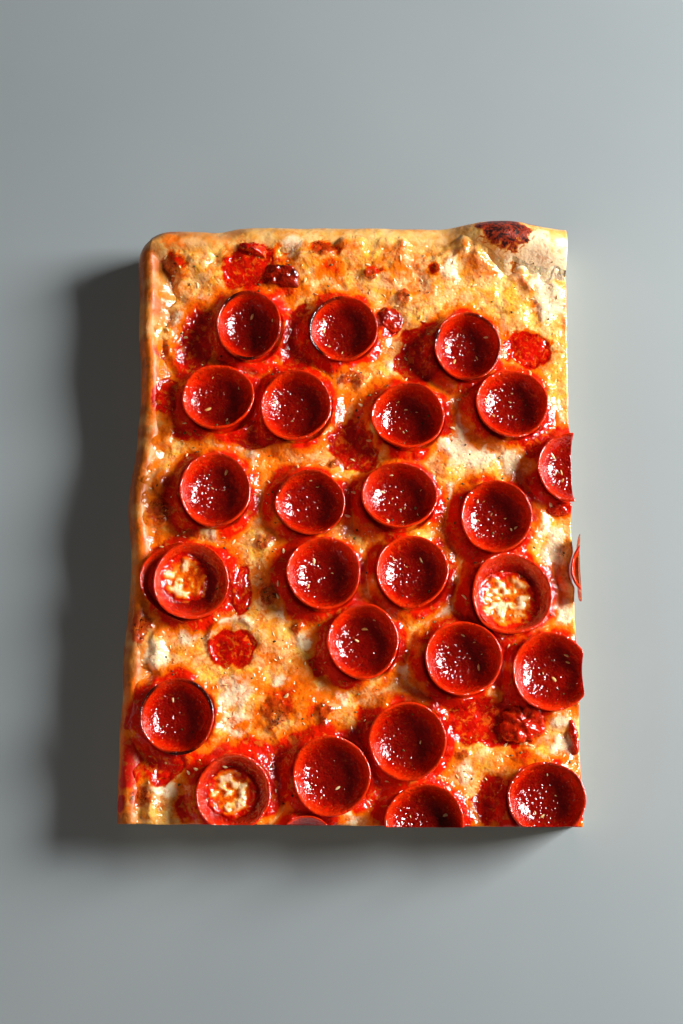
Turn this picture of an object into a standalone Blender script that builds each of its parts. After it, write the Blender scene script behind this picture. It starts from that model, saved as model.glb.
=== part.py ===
"""A corner slice of pan pizza with cupped pepperoni, lying flat.

The slice is a quarter of a 12 x 16 inch pan. Its left and back sides are baked crust that rises in a
puffed rim, and its right and front sides are knife cuts. From the bottom up it is dough, cheese,
patches of tomato sauce, and pepperoni that the oven has curled into cups.

Units are metres. +X is the slice's right, +Y its back, +Z up, and the origin lies on the table under
the middle of the slice. Lengths below are written in millimetres times MM.
"""

import math
import random
from collections import namedtuple

import bmesh
import bpy
from mathutils import Matrix, Vector, noise
from mathutils.bvhtree import BVHTree

MM = 0.001

# Driving sizes
SLICE_WIDTH = 152 * MM
SLICE_LENGTH = 209 * MM
FIELD_HEIGHT = 17 * MM
CHEESE_THICKNESS = 3.4 * MM
CHEESE_BORDER = 0.5 * MM
SEAT_DEPTH = 1.5 * MM
CRUST_LEFT_HEIGHT = 22.5 * MM
CRUST_BACK_HEIGHT = 24.5 * MM
CUP_HEIGHT = 7.6 * MM
CUP_WALL = 1.5 * MM
SAUCE_THICKNESS = 1.3 * MM
TOUCH_GAP = 0.3 * MM

# The crust's rim: how wide it is, and where its crest and outer shoulder lie
SHOULDER_HEIGHT = 14 * MM
CREST_LEFT = 5 * MM
CREST_BACK = 7 * MM
CRUST_LEFT_STEPS = [s * MM for s in (0, 0.8, 2.2, 5, 8.5, 12)]
CRUST_BACK_STEPS = [s * MM for s in (0, 0.8, 2.5, 5, 8, 12.5, 17)]
CORNER_RADIUS = 9 * MM
BASE_INSET = 2.2 * MM
WALL_LEVELS = (0.62, 0.14, 0.0)
FIELD_COLUMNS = 25
FIELD_ROWS = 34

# Swellings and hollows of the crust: middle, reach in X and Y, height, all in millimetres
CRUST_LOBES = (
    (-61, 93, 15, 12, 2.4),
    (-44, 103, 6, 6, -2.0),
    (-22, 99, 17, 8, 1.3),
    (8, 101, 13, 7, 1.0),
    (33, 100, 7, 7, -2.2),
    (54, 95, 15, 11, 7.0),
    (71, 86, 7, 14, 3.0),
    (-71, 60, 7, 16, 1.6),
    (-72, 30, 6, 9, -1.5),
    (-72, -2, 6, 10, 1.2),
    (-70, -38, 6, 12, 0.9),
    (-70, -84, 7, 13, -1.2),
)

# Mounds and dips of the melted cheese, in the same form
CHEESE_MOUNDS = (
    (-8, 80, 20, 8, 1.5),
    (28, 75, 13, 9, 1.4),
    (60, 70, 11, 13, 1.3),
    (1, 48, 10, 8, 1.2),
    (3, 20, 10, 9, 1.4),
    (36, 17, 13, 12, 1.5),
    (58, 16, 8, 10, 0.9),
    (-62, 62, 7, 12, 1.0),
    (-28, -14, 9, 13, 1.3),
    (-58, -45, 12, 8, 1.3),
    (-32, -36, 10, 9, 1.8),
    (-36, -62, 13, 11, 1.3),
    (-14, -65, 9, 8, 1.2),
    (22, -52, 8, 10, 0.9),
    (38, -74, 9, 12, 1.3),
    (44, -97, 9, 6, 1.0),
    (-66, -97, 9, 7, 1.0),
    (66, 2, 8, 14, 1.2),
    (-25, 72, 5, 6, -0.8),
    (32, 58, 7, 9, -0.9),
    (-30, -96, 6, 7, -0.6),
)

# Patches of sauce that lie bare on the cheese: middle, half length, half width (mm), turn (degrees)
SAUCE_PATCHES = (
    (-36, 87, 9, 6.5, 20),
    (-53, 61, 10.5, 5.5, 80),
    (-64, 40, 6.5, 4, 85),
    (-18.8, 60.5, 12, 4.5, 88),
    (24, 56.5, 9.8, 7.5, 60),
    (62, 58.5, 8, 5.5, -20),
    (63, 26, 8, 5, -45),
    (1.3, 23, 9, 7, -60),
    (-32.5, 26.5, 8, 4, 0),
    (-36.5, -28, 7.7, 3.2, 88),
    (-39.5, -47, 7.5, 5.6, 10),
    (46.5, -71, 15, 7, 5),
    (-60, -84.5, 7, 6, 40),
    (-21, -89, 7, 4, 88),
    (46.5, -94, 7, 4, 70),
)

# Flat scraps that lie on the cheese: middle, half length, half width, thickness (mm), turn (degrees), look
SCRAPS = {
    "pepperoni_29": (57, -71.5, 7.4, 6.6, 1.8, 20, "pepperoni"),
    "pepperoni_30": (74.2, -75.2, 6.6, 1.5, 2.4, 98, "pepperoni"),
    "pepperoni_31": (70.8, 0.4, 4.0, 1.7, 1.5, -6, "pepperoni"),
    "pepperoni_32": (-24.8, 84.6, 6.0, 3.6, 1.8, -28, "pepperoni"),
    "pepperoni_33": (14.4, 69.5, 5.0, 4.0, 1.8, -50, "pepperoni"),
    "tomato_chunk": (-34.2, 93.6, 5.2, 2.4, 2.4, -14, "sauce"),
}

# Each cup: middle (mm), half width in X and Y (mm), the lean of its mouth (degrees) and the way it leans
Cup = namedtuple("Cup", "x y half_x half_y lean towards")
CUPS = {
    "pepperoni_01": Cup(-35, 64.5, 11.4, 12.6, 3, 200),
    "pepperoni_02": Cup(-2.5, 64, 12.1, 11.6, 4, 250),
    "pepperoni_03": Cup(40, 57.5, 11.5, 12.2, 3, 300),
    "pepperoni_04": Cup(-45, 38, 12.6, 11.6, 5, 150),
    "pepperoni_05": Cup(-18.5, 35.5, 12.3, 12.5, 3, 160),
    "pepperoni_06": Cup(20, 32, 12.5, 11.5, 4, 190),
    "pepperoni_07": Cup(55, 36.5, 12.4, 12.1, 3, 90),
    "pepperoni_08": Cup(75.5, 14.5, 11.8, 12, 5, 180),
    "pepperoni_09": Cup(-46, 5.5, 11.9, 13, 4, 10),
    "pepperoni_10": Cup(-13.5, 2, 11.9, 11.2, 3, 280),
    "pepperoni_11": Cup(16.5, 3.5, 12.9, 11.5, 4, 70),
    "pepperoni_12": Cup(49.5, -2.5, 12, 12.5, 4, 200),
    "pepperoni_13": Cup(-53, -25.5, 12.6, 12.9, 3, 0),
    "pepperoni_14": Cup(-9, -23, 12.4, 12.4, 5, 60),
    "pepperoni_15": Cup(21, -22, 12.2, 12.5, 5, 110),
    "pepperoni_16": Cup(53.5, -29.3, 13.4, 14, 3, 40),
    "pepperoni_17": Cup(85, -20, 11.5, 11.5, 2, 0),
    "pepperoni_18": Cup(4.7, -45.5, 11.8, 12.7, 4, 130),
    "pepperoni_19": Cup(37, -51, 12.8, 12.4, 4, 50),
    "pepperoni_20": Cup(66.8, -54.7, 13, 13, 3, 170),
    "pepperoni_21": Cup(-56, -70, 12.1, 12.4, 2, 315),
    "pepperoni_22": Cup(19.4, -77, 12.6, 12.7, 5, 240),
    "pepperoni_23": Cup(-5.3, -88.6, 12.7, 13, 4, 225),
    "pepperoni_24": Cup(-37.5, -94.5, 12.1, 12.4, 3, 0),
    "pepperoni_25": Cup(24.5, -104.2, 12.8, 12.8, 4, 90),
    "pepperoni_26": Cup(63.5, -96.2, 12.7, 12.2, 3, 80),
    "pepperoni_27": Cup(-13.2, -111.2, 9.6, 9.6, 2, 90),
}
# Cups that the knife went through: where the cut leaves them in X, in Y, or in both
CUT_RIGHT = {"pepperoni_08": 75.6 * MM, "pepperoni_17": 77 * MM, "pepperoni_20": 76.8 * MM}
CUT_FRONT = {
    "pepperoni_24": -104.6 * MM,
    "pepperoni_25": -104.9 * MM,
    "pepperoni_26": -104.4 * MM,
    "pepperoni_27": -104.3 * MM,
}
# Cups whose floor is covered by cheese: how far the cheese reaches, as a share of the cup
CHEESE_FILLS = {"pepperoni_13": 0.45, "pepperoni_16": 0.62, "pepperoni_24": 0.42}

CUP_SIDES = 16
HERB_FLAKES = 30
HERB_CLEARANCE = 1.5 * MM
SEED = 7

Look = namedtuple("Look", "colour roughness")
LOOKS = {
    "dough": Look((0.80, 0.50, 0.20), 0.75),
    "cheese": Look((0.90, 0.58, 0.20), 0.35),
    "sauce": Look((0.50, 0.035, 0.01), 0.35),
    "pepperoni": Look((0.46, 0.02, 0.01), 0.3),
}


def lerp(a, b, share):
    return a + (b - a) * share


def smooth(low, high, value):
    """0 below low, 1 above high and an S-shaped rise between them."""
    share = min(max((value - low) / (high - low), 0.0), 1.0)
    return share * share * (3 - 2 * share)


def hump(value, middle, reach):
    """A bell of height 1 at middle that fades over reach."""
    return math.exp(-(((value - middle) / reach) ** 2))


def mounds(x, y, table):
    """The sum of a table's swellings at a point."""
    total = 0.0
    for middle_x, middle_y, reach_x, reach_y, height in table:
        total += height * MM * hump(x, middle_x * MM, reach_x * MM) * hump(y, middle_y * MM, reach_y * MM)
    return total


def ripple(x, y, wavelength, layer=0.0):
    """Smooth noise between -1 and 1 with features of the given size."""
    return noise.noise(Vector((x / wavelength, y / wavelength, layer)))


# The outline of the slice, seen from above

def left_edge(y):
    """The baked left side, drawn in by up to 3 mm beside the first pepperoni and rounded at the back."""
    x = -SLICE_WIDTH / 2
    x += 2.4 * MM * hump(y, 42 * MM, 26 * MM) + 1.5 * MM * hump(y, -22 * MM, 20 * MM)
    x -= 0.9 * MM * hump(y, 2 * MM, 9 * MM)
    past = max(y - (SLICE_LENGTH / 2 - CORNER_RADIUS), 0.0)
    past = min(past, CORNER_RADIUS * 0.98)
    return x + CORNER_RADIUS - math.sqrt(CORNER_RADIUS**2 - past**2) + 0.5 * MM * ripple(0, y, 14 * MM)


def right_edge(y):
    """The knife's cut on the right, a little slack in its middle."""
    return SLICE_WIDTH / 2 - 0.9 * MM * hump(y, 12 * MM, 60 * MM) + 0.2 * MM * ripple(0, y, 12 * MM, 3.0)


def back_edge(x):
    """The baked back side, which steps out past the corner and again round the large bubble."""
    y = SLICE_LENGTH / 2 - 1.8 * MM * (1 - smooth(-50 * MM, -40 * MM, x))
    return y + 2.1 * MM * hump(x, 51 * MM, 15 * MM) + 0.4 * MM * ripple(x, 0, 13 * MM, 5.0)


def front_edge(x):
    """The knife's cut along the front."""
    return -SLICE_LENGTH / 2 + 0.3 * MM * ripple(x, 0, 11 * MM, 7.0)


# Heights of the layers

def rim_profile(distance, crest, width, height):
    """The rim's rise above the dough's field at a distance in from the outline."""
    rise = height - FIELD_HEIGHT
    if distance < crest:
        share = 1 - distance / crest
        return lerp(SHOULDER_HEIGHT - FIELD_HEIGHT, rise, math.sqrt(max(1 - share * share, 0.0)))
    return rise * (1 - smooth(crest, width, distance))


def dough_top(x, y):
    from_left = max(x - left_edge(min(y, SLICE_LENGTH / 2 - CORNER_RADIUS)), 0.0)
    from_back = max(back_edge(x) - y, 0.0)
    swell = mounds(x, y, CRUST_LOBES) + 0.5 * MM * ripple(x, y, 9 * MM)
    left_width, back_width = CRUST_LEFT_STEPS[-1], CRUST_BACK_STEPS[-1]
    left = rim_profile(from_left, CREST_LEFT, left_width, CRUST_LEFT_HEIGHT + swell)
    back = rim_profile(from_back, CREST_BACK, back_width, CRUST_BACK_HEIGHT + swell)
    at_left, at_back = from_left < CREST_LEFT, from_back < CREST_BACK
    if at_left and at_back:
        return FIELD_HEIGHT + min(left, back)
    if at_left or at_back:
        return FIELD_HEIGHT + (left if at_left else back)
    return FIELD_HEIGHT + max(left, back)


def seat_depth(x, y):
    """How far the cheese sinks under the nearest cup."""
    depth = 0.0
    for cup in CUPS.values():
        away = math.hypot((x - cup.x * MM) / cup.half_x, (y - cup.y * MM) / cup.half_y) / MM
        depth = max(depth, 1 - smooth(0.75, 1.15, away))
    return depth


def cheese_top(x, y):
    """The cheese feathers out on the rim's inner slope and sinks a little under each cup."""
    from_left = x - left_edge(y)
    from_back = back_edge(x) - y
    body = smooth(CRUST_LEFT_STEPS[-2], CRUST_LEFT_STEPS[-2] + 6 * MM, from_left)
    body *= smooth(CRUST_BACK_STEPS[-2], CRUST_BACK_STEPS[-2] + 7 * MM, from_back)
    free = 1 - 0.9 * seat_depth(x, y)
    relief = mounds(x, y, CHEESE_MOUNDS) + 0.7 * MM * ripple(x, y, 11 * MM, 2.0)
    thickness = CHEESE_THICKNESS - SEAT_DEPTH * seat_depth(x, y) + relief * free
    return dough_top(x, y) + TOUCH_GAP + lerp(CHEESE_BORDER, max(thickness, 1.2 * MM), body)


# The grid that dough and cheese share, so that their touching faces lie alike

def grid_point(column, row):
    """Where a grid line crossing lies, counted from the left and from the front."""
    rough_y = lerp(-SLICE_LENGTH / 2, SLICE_LENGTH / 2 - CRUST_BACK_STEPS[-1], min(row / FIELD_ROWS, 1))
    if row > FIELD_ROWS:
        rough_y = SLICE_LENGTH / 2 - CRUST_BACK_STEPS[FIELD_ROWS - row - 1]
    left, right = left_edge(rough_y), right_edge(rough_y)
    steps = len(CRUST_LEFT_STEPS)
    if column < steps:
        x = left + CRUST_LEFT_STEPS[column]
    else:
        x = lerp(left + CRUST_LEFT_STEPS[-1], right, (column - steps + 1) / FIELD_COLUMNS)
    if row <= FIELD_ROWS:
        y = lerp(front_edge(x), back_edge(x) - CRUST_BACK_STEPS[-1], row / FIELD_ROWS)
    else:
        y = back_edge(x) - CRUST_BACK_STEPS[FIELD_ROWS - row - 1]
    return x, y


COLUMNS = len(CRUST_LEFT_STEPS) - 1 + FIELD_COLUMNS
ROWS = FIELD_ROWS + len(CRUST_BACK_STEPS) - 1


def grid_sheet(columns, rows, first_column, height):
    """An open sheet over part of the shared grid, with each vertex's grid place kept in two layers."""
    bm = bmesh.new()
    bmesh.ops.create_grid(bm, x_segments=columns, y_segments=rows, size=1)
    column_layer = bm.verts.layers.int.new("column")
    row_layer = bm.verts.layers.int.new("row")
    for vert in bm.verts:
        column = round((vert.co.x + 1) / 2 * columns) + first_column
        row = round((vert.co.y + 1) / 2 * rows)
        x, y = grid_point(column, row)
        vert[column_layer], vert[row_layer] = column, row
        vert.co = (x, y, height(x, y))
    return bm, column_layer, row_layer


def rim_edges(bm):
    return [edge for edge in bm.edges if edge.is_boundary]


def extruded_ring(bm, edges):
    """Extrudes an open edge loop in place and returns its new vertices and edges."""
    made = bmesh.ops.extrude_edge_only(bm, edges=edges)["geom"]
    verts = [item for item in made if isinstance(item, bmesh.types.BMVert)]
    edges = [item for item in made if isinstance(item, bmesh.types.BMEdge) and item.is_boundary]
    return verts, edges


def finished(bm, name, look):
    """Closes up a bmesh as a smooth-shaded object of the slice."""
    bmesh.ops.triangulate(bm, faces=bm.faces, quad_method="FIXED", ngon_method="BEAUTY")
    bmesh.ops.recalc_face_normals(bm, faces=bm.faces)
    if bm.calc_volume(signed=True) < 0:
        bmesh.ops.reverse_faces(bm, faces=bm.faces)
    mesh = bpy.data.meshes.new(name)
    bm.to_mesh(mesh)
    bm.free()
    mesh.materials.append(materials[look])
    obj = bpy.data.objects.new(name, mesh)
    parts.objects.link(obj)
    mesh.shade_smooth()
    mesh.set_sharp_from_angle(angle=math.radians(50))
    return obj


def make_dough():
    bm, column_layer, row_layer = grid_sheet(COLUMNS, ROWS, 0, dough_top)
    first_flat = len(CRUST_LEFT_STEPS) - 1
    hidden = [
        face
        for face in bm.faces
        if all(first_flat <= v[column_layer] < COLUMNS and 0 < v[row_layer] <= FIELD_ROWS for v in face.verts)
    ]
    bmesh.ops.delete(bm, geom=hidden, context="FACES")
    outline = [
        edge
        for edge in rim_edges(bm)
        if all(v[column_layer] in (0, COLUMNS) or v[row_layer] in (0, ROWS) for v in edge.verts)
    ]
    inner = [edge for edge in rim_edges(bm) if edge not in outline]
    bmesh.ops.edgeloop_fill(bm, edges=inner)
    top_height = {}
    for edge in outline:
        for vert in edge.verts:
            top_height[vert[column_layer], vert[row_layer]] = vert.co.copy()
    for level in WALL_LEVELS:
        verts, outline = extruded_ring(bm, outline)
        inset = BASE_INSET * (1 - smooth(0.0, 0.4, level)) ** 2
        for vert in verts:
            start = top_height[vert[column_layer], vert[row_layer]]
            baked_left, baked_back = vert[column_layer] == 0, vert[row_layer] == ROWS
            shift = Vector((inset if baked_left else 0, -inset if baked_back else 0, 0))
            vert.co = Vector((start.x, start.y, start.z * level)) + shift
    bmesh.ops.edgeloop_fill(bm, edges=outline)
    return finished(bm, "dough", "dough")


def make_cheese():
    """The cheese's underside is flat but for its feathered border, which lies along the rim's slope."""
    first = len(CRUST_LEFT_STEPS) - 2
    bm, column_layer, row_layer = grid_sheet(COLUMNS - first, FIELD_ROWS + 1, first, cheese_top)
    corner = [v for v in bm.verts if v[column_layer] == first and v[row_layer] == FIELD_ROWS + 1]
    bmesh.ops.delete(bm, geom=corner, context="VERTS")
    verts, outline = extruded_ring(bm, rim_edges(bm))
    for vert in verts:
        column = max(vert[column_layer], first + 1)
        row = min(vert[row_layer], FIELD_ROWS)
        x, y = grid_point(column, row)
        vert.co = (x, y, FIELD_HEIGHT + TOUCH_GAP)
    bmesh.ops.edgeloop_fill(bm, edges=outline)
    bmesh.ops.remove_doubles(bm, verts=verts, dist=0.01 * MM)
    return finished(bm, "cheese", "cheese")


def tree_of(objects):
    """A ray-casting tree of several finished objects."""
    verts, faces = [], []
    for obj in objects:
        start = len(verts)
        verts += [obj.matrix_world @ v.co for v in obj.data.vertices]
        faces += [[start + i for i in p.vertices] for p in obj.data.polygons]
    return BVHTree.FromPolygons(verts, faces)


def height_on(tree, x, y, otherwise):
    hit = tree.ray_cast(Vector((x, y, 0.2)), Vector((0, 0, -1)))[0]
    return hit.z if hit else otherwise


def ground_of(supports):
    """The height of what lies below, carried on level past the slice's cut sides."""
    tree = tree_of(supports)

    def ground(x, y):
        inner_x = min(x, right_edge(y) - TOUCH_GAP)
        inner_y = max(y, front_edge(x) + TOUCH_GAP)
        return height_on(tree, inner_x, inner_y, FIELD_HEIGHT)

    return ground


def probes(obj):
    """A finished object's vertices and the middles of its edges, in the slice's frame."""
    points = [obj.matrix_world @ v.co for v in obj.data.vertices]
    return points + [(points[a] + points[b]) / 2 for a, b in (edge.vertices for edge in obj.data.edges)]


def settle(obj, supports, gap=TOUCH_GAP):
    """Sets a piece down on what lies below it, with the gap that touching pieces keep."""
    bpy.context.view_layer.update()
    below, own = tree_of(supports), tree_of([obj])
    down, up = Vector((0, 0, -1)), Vector((0, 0, 1))
    rooms = []
    for point in probes(obj):
        hit = below.ray_cast(point + up * 0.05, down)[0]
        if hit:
            rooms.append(point.z - hit.z)
    for support in supports:
        for point in probes(support):
            hit = own.ray_cast(point - up * 0.05, up)[0]
            if hit:
                rooms.append(hit.z - point.z)
    obj.location.z += gap - min(rooms)


def lens(name, look, outline_radius, middle, thickness, ground, rough, sides=16):
    """A flat drop with a domed top that follows the ground under it. outline_radius is its reach by angle."""
    bm = bmesh.new()
    bmesh.ops.create_uvsphere(bm, u_segments=sides, v_segments=6, radius=1)
    for vert in bm.verts:
        angle = math.atan2(vert.co.y, vert.co.x)
        out = math.hypot(vert.co.x, vert.co.y)
        reach = outline_radius(angle) * out
        x = middle.x + reach * math.cos(angle)
        y = middle.y + reach * math.sin(angle)
        dome = thickness * max(vert.co.z, 0.0) ** 0.6 * (1 + rough * ripple(x, y, 4 * MM, 9.0))
        edge = 0.12 * thickness if vert.co.z >= -0.01 else 0.0
        vert.co = (x, y, ground(x, y) + TOUCH_GAP + dome + edge)
    return finished(bm, name, look)


def ragged_oval(half_long, half_wide, turn, number):
    """The reach of an uneven oval by angle."""
    turned = math.radians(turn)

    def reach(angle):
        along, across = math.cos(angle - turned) / half_long, math.sin(angle - turned) / half_wide
        ragged = 1 + 0.3 * noise.noise(Vector((math.cos(angle) * 1.7, math.sin(angle) * 1.7, number)))
        return ragged / math.hypot(along, across) * MM

    return reach


def make_sauce(supports):
    ground = ground_of(supports)
    patches = []
    for number, (x, y, half_long, half_wide, turn) in enumerate(SAUCE_PATCHES, 1):
        reach = ragged_oval(half_long, half_wide, turn, number)
        patch = lens(
            f"sauce_{number:02d}",
            "sauce",
            reach,
            Vector((x * MM, y * MM, 0)),
            SAUCE_THICKNESS,
            ground,
            0.35,
            sides=14,
        )
        settle(patch, supports)
        patches.append(patch)
    return patches


def make_scraps(supports):
    ground = ground_of(supports)
    for number, (name, scrap) in enumerate(SCRAPS.items(), 20):
        x, y, half_long, half_wide, thickness, turn, look = scrap
        piece = lens(
            name,
            look,
            ragged_oval(half_long, half_wide, turn, number),
            Vector((x * MM, y * MM, 0)),
            thickness * MM,
            ground,
            0.2,
            sides=12,
        )
        settle(piece, supports)


def cup_mesh(cup, number):
    """A turned bowl, made oval, its rim waving and its wall a little uneven."""
    reach = (cup.half_x + cup.half_y) / 2 * MM
    high = CUP_HEIGHT * (1 + 0.1 * math.sin(number * 2.4))
    wall = CUP_WALL
    profile = [
        (0, 0),
        (0.58 * reach, 0),
        (0.93 * reach, 0.4 * high),
        (reach, high),
        (reach - wall, high + 0.1 * wall),
        (0.93 * reach - wall, 0.46 * high),
        (0.58 * reach, wall),
        (0, wall * 0.9),
    ]
    bm = bmesh.new()
    line = [bm.verts.new((r, 0, z)) for r, z in profile]
    edges = [bm.edges.new(pair) for pair in zip(line, line[1:])]
    bmesh.ops.spin(bm, geom=line + edges, axis=(0, 0, 1), cent=(0, 0, 0), steps=CUP_SIDES, angle=math.tau)
    bmesh.ops.remove_doubles(bm, verts=bm.verts, dist=0.01 * MM)
    for vert in bm.verts:
        angle = math.atan2(vert.co.y, vert.co.x)
        share = vert.co.z / high
        wave = 0.09 * math.sin(2 * angle + number) + 0.05 * math.sin(3 * angle + 2 * number)
        vert.co.z *= 1 + wave * share
        vert.co.x *= cup.half_x * MM / reach
        vert.co.y *= cup.half_y * MM / reach
    return bm


def lean(cup):
    """Tips a cup so that its mouth faces a compass direction, in degrees from +X."""
    towards = math.radians(cup.towards)
    axis = Vector((-math.sin(towards), math.cos(towards), 0))
    return Matrix.Rotation(math.radians(cup.lean), 4, axis)


def cut(bm, point, normal):
    """Cuts a closed mesh by a plane, keeps the side behind the normal and closes it."""
    geometry = bm.verts[:] + bm.edges[:] + bm.faces[:]
    bmesh.ops.bisect_plane(bm, geom=geometry, plane_co=point, plane_no=normal, clear_outer=True)
    bmesh.ops.holes_fill(bm, edges=rim_edges(bm))


def make_cups(supports):
    cups = {}
    for number, (name, cup) in enumerate(CUPS.items(), 1):
        bm = cup_mesh(cup, number)
        middle = Vector((cup.x * MM, cup.y * MM, 0))
        bm.transform(lean(cup))
        if name in CUT_RIGHT:
            cut(bm, Vector((CUT_RIGHT[name], 0, 0)) - middle, Vector((1, 0, 0)))
        if name in CUT_FRONT:
            cut(bm, Vector((0, CUT_FRONT[name], 0)) - middle, Vector((0, -1, 0)))
        cups[name] = finished(bm, name, "pepperoni")
        cups[name].location = middle + Vector((0, 0, FIELD_HEIGHT + 2 * CHEESE_THICKNESS))
        settle(cups[name], supports)
    return cups


def make_cheese_fills(cups):
    """Melted cheese lying on the floors of a few cups."""
    for name, share in CHEESE_FILLS.items():
        cup = CUPS[name]
        bpy.context.view_layer.update()
        tree = tree_of([cups[name]])
        middle = cups[name].matrix_world.translation
        radius = share * min(cup.half_x, cup.half_y) * MM
        fill = lens(
            name.replace("pepperoni", "cheese_fill"),
            "cheese",
            lambda angle, radius=radius: radius * (1 + 0.12 * math.sin(3 * angle)),
            middle,
            1.6 * MM,
            lambda x, y, tree=tree, middle=middle: height_on(tree, x, y, middle.z),
            0.5,
        )
        settle(fill, [cups[name]])


def make_tucked_slice(cups, supports):
    """A pepperoni mostly hidden under another, of which only a crescent shows on the left."""
    over = CUPS["pepperoni_13"]
    tucked = Cup(over.x - 5.5, over.y + 1.5, 11.5, 12, 6, 200)
    bm = cup_mesh(tucked, 28)
    bmesh.ops.scale(bm, vec=(1, 1, 0.55), verts=bm.verts)
    bm.transform(lean(tucked))
    crescent = finished(bm, "pepperoni_28", "pepperoni")
    crescent.location = (tucked.x * MM, tucked.y * MM, FIELD_HEIGHT + CHEESE_THICKNESS)
    bpy.ops.mesh.primitive_cylinder_add(
        vertices=32, radius=1, depth=40 * MM, location=(over.x * MM, over.y * MM, FIELD_HEIGHT)
    )
    cutter = bpy.context.object
    cutter.name = "cut_round_pepperoni_13"
    cutter.scale = ((over.half_x + 0.9) * MM, (over.half_y + 0.9) * MM, 1)
    cutter.hide_render = True
    cutter.display_type = "WIRE"
    for collection in list(cutter.users_collection):
        collection.objects.unlink(cutter)
    cutters.objects.link(cutter)
    apply_boolean(crescent, "DIFFERENCE", cutter)
    settle(crescent, supports)
    return crescent


def apply_boolean(obj, operation, other):
    """Joins or cuts by an object or a whole collection, and writes the result into the mesh."""
    modifier = obj.modifiers.new(operation.title(), "BOOLEAN")
    modifier.operation = operation
    modifier.solver = "EXACT"
    if isinstance(other, bpy.types.Collection):
        modifier.operand_type = "COLLECTION"
        modifier.collection = other
    else:
        modifier.object = other
    bpy.context.view_layer.update()
    joined = bpy.data.meshes.new_from_object(obj.evaluated_get(bpy.context.evaluated_depsgraph_get()))
    obj.modifiers.remove(modifier)
    obj.data = joined


def is_bare(x, y):
    """Whether a point of the cheese lies clear of cups, sauce and edges."""
    if not (x > left_edge(y) + 16 * MM and x < right_edge(y) - 3 * MM):
        return False
    if not (y > front_edge(x) + 3 * MM and y < back_edge(x) - 22 * MM):
        return False
    for cup in CUPS.values():
        if math.hypot(x - cup.x * MM, y - cup.y * MM) < max(cup.half_x, cup.half_y) * MM + HERB_CLEARANCE:
            return False
    for patch_x, patch_y, half_long, *_ in [*SAUCE_PATCHES, *SCRAPS.values()]:
        if math.hypot(x - patch_x * MM, y - patch_y * MM) < (half_long * 1.15 + 1.5) * MM:
            return False
    return math.hypot(x + 58.5 * MM, y + 24 * MM) > 14 * MM


def add_herbs(cheese):
    """Flakes of dried herb, half sunk in the cheese and joined to it."""
    draw = random.Random(SEED)
    tree = tree_of([cheese])
    loose = bpy.data.collections.new("herb_flakes")
    bpy.context.scene.collection.children.link(loose)
    made = 0
    while made < HERB_FLAKES:
        x = draw.uniform(-0.5, 0.5) * SLICE_WIDTH
        y = draw.uniform(-0.5, 0.5) * SLICE_LENGTH
        if not is_bare(x, y):
            continue
        bm = bmesh.new()
        bmesh.ops.create_icosphere(bm, subdivisions=1, radius=1 * MM)
        size = (draw.uniform(1.3, 2.0), draw.uniform(0.5, 0.8), draw.uniform(0.45, 0.6))
        bmesh.ops.scale(bm, vec=size, verts=bm.verts)
        bm.transform(Matrix.Rotation(draw.uniform(0, math.tau), 4, "Z"))
        bm.transform(Matrix.Translation((x, y, height_on(tree, x, y, FIELD_HEIGHT))))
        mesh = bpy.data.meshes.new("herb_flake")
        bm.to_mesh(mesh)
        bm.free()
        loose.objects.link(bpy.data.objects.new("herb_flake", mesh))
        made += 1
    apply_boolean(cheese, "UNION", loose)
    for obj in list(loose.objects):
        bpy.data.objects.remove(obj)
    bpy.data.collections.remove(loose)


def make_material(name, look):
    material = bpy.data.materials.new(name)
    material.use_nodes = True
    shader = material.node_tree.nodes["Principled BSDF"]
    shader.inputs["Base Color"].default_value = (*look.colour, 1)
    shader.inputs["Roughness"].default_value = look.roughness
    shader.inputs["Metallic"].default_value = 0.0
    return material


for leftover in list(bpy.data.objects):
    bpy.data.objects.remove(leftover)
parts = bpy.data.collections.new("pepperoni_pizza_slice")
cutters = bpy.data.collections.new("cutters")
bpy.context.scene.collection.children.link(parts)
bpy.context.scene.collection.children.link(cutters)
materials = {name: make_material(name, look) for name, look in LOOKS.items()}

dough = make_dough()
cheese = make_cheese()
sauce = make_sauce([dough, cheese])
cups = make_cups([dough, cheese, *sauce])
make_cheese_fills(cups)
make_tucked_slice(cups, [dough, cheese, *sauce])
make_scraps([dough, cheese, *sauce])
add_herbs(cheese)
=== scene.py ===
"""A corner slice of pepperoni pan pizza: baked crust, melted cheese, bare sauce and cupped pepperoni.

Lengths are in millimetres until a mesh is made, and then in metres. +X is the slice's right, +Y its back
and +Z up, as in the CAD frame. The shapes follow the same outline, rim and cups as the solids.
"""

import math
from collections import namedtuple

import bmesh
import bpy
import numpy as np
from mathutils import Matrix, Vector, noise


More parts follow.
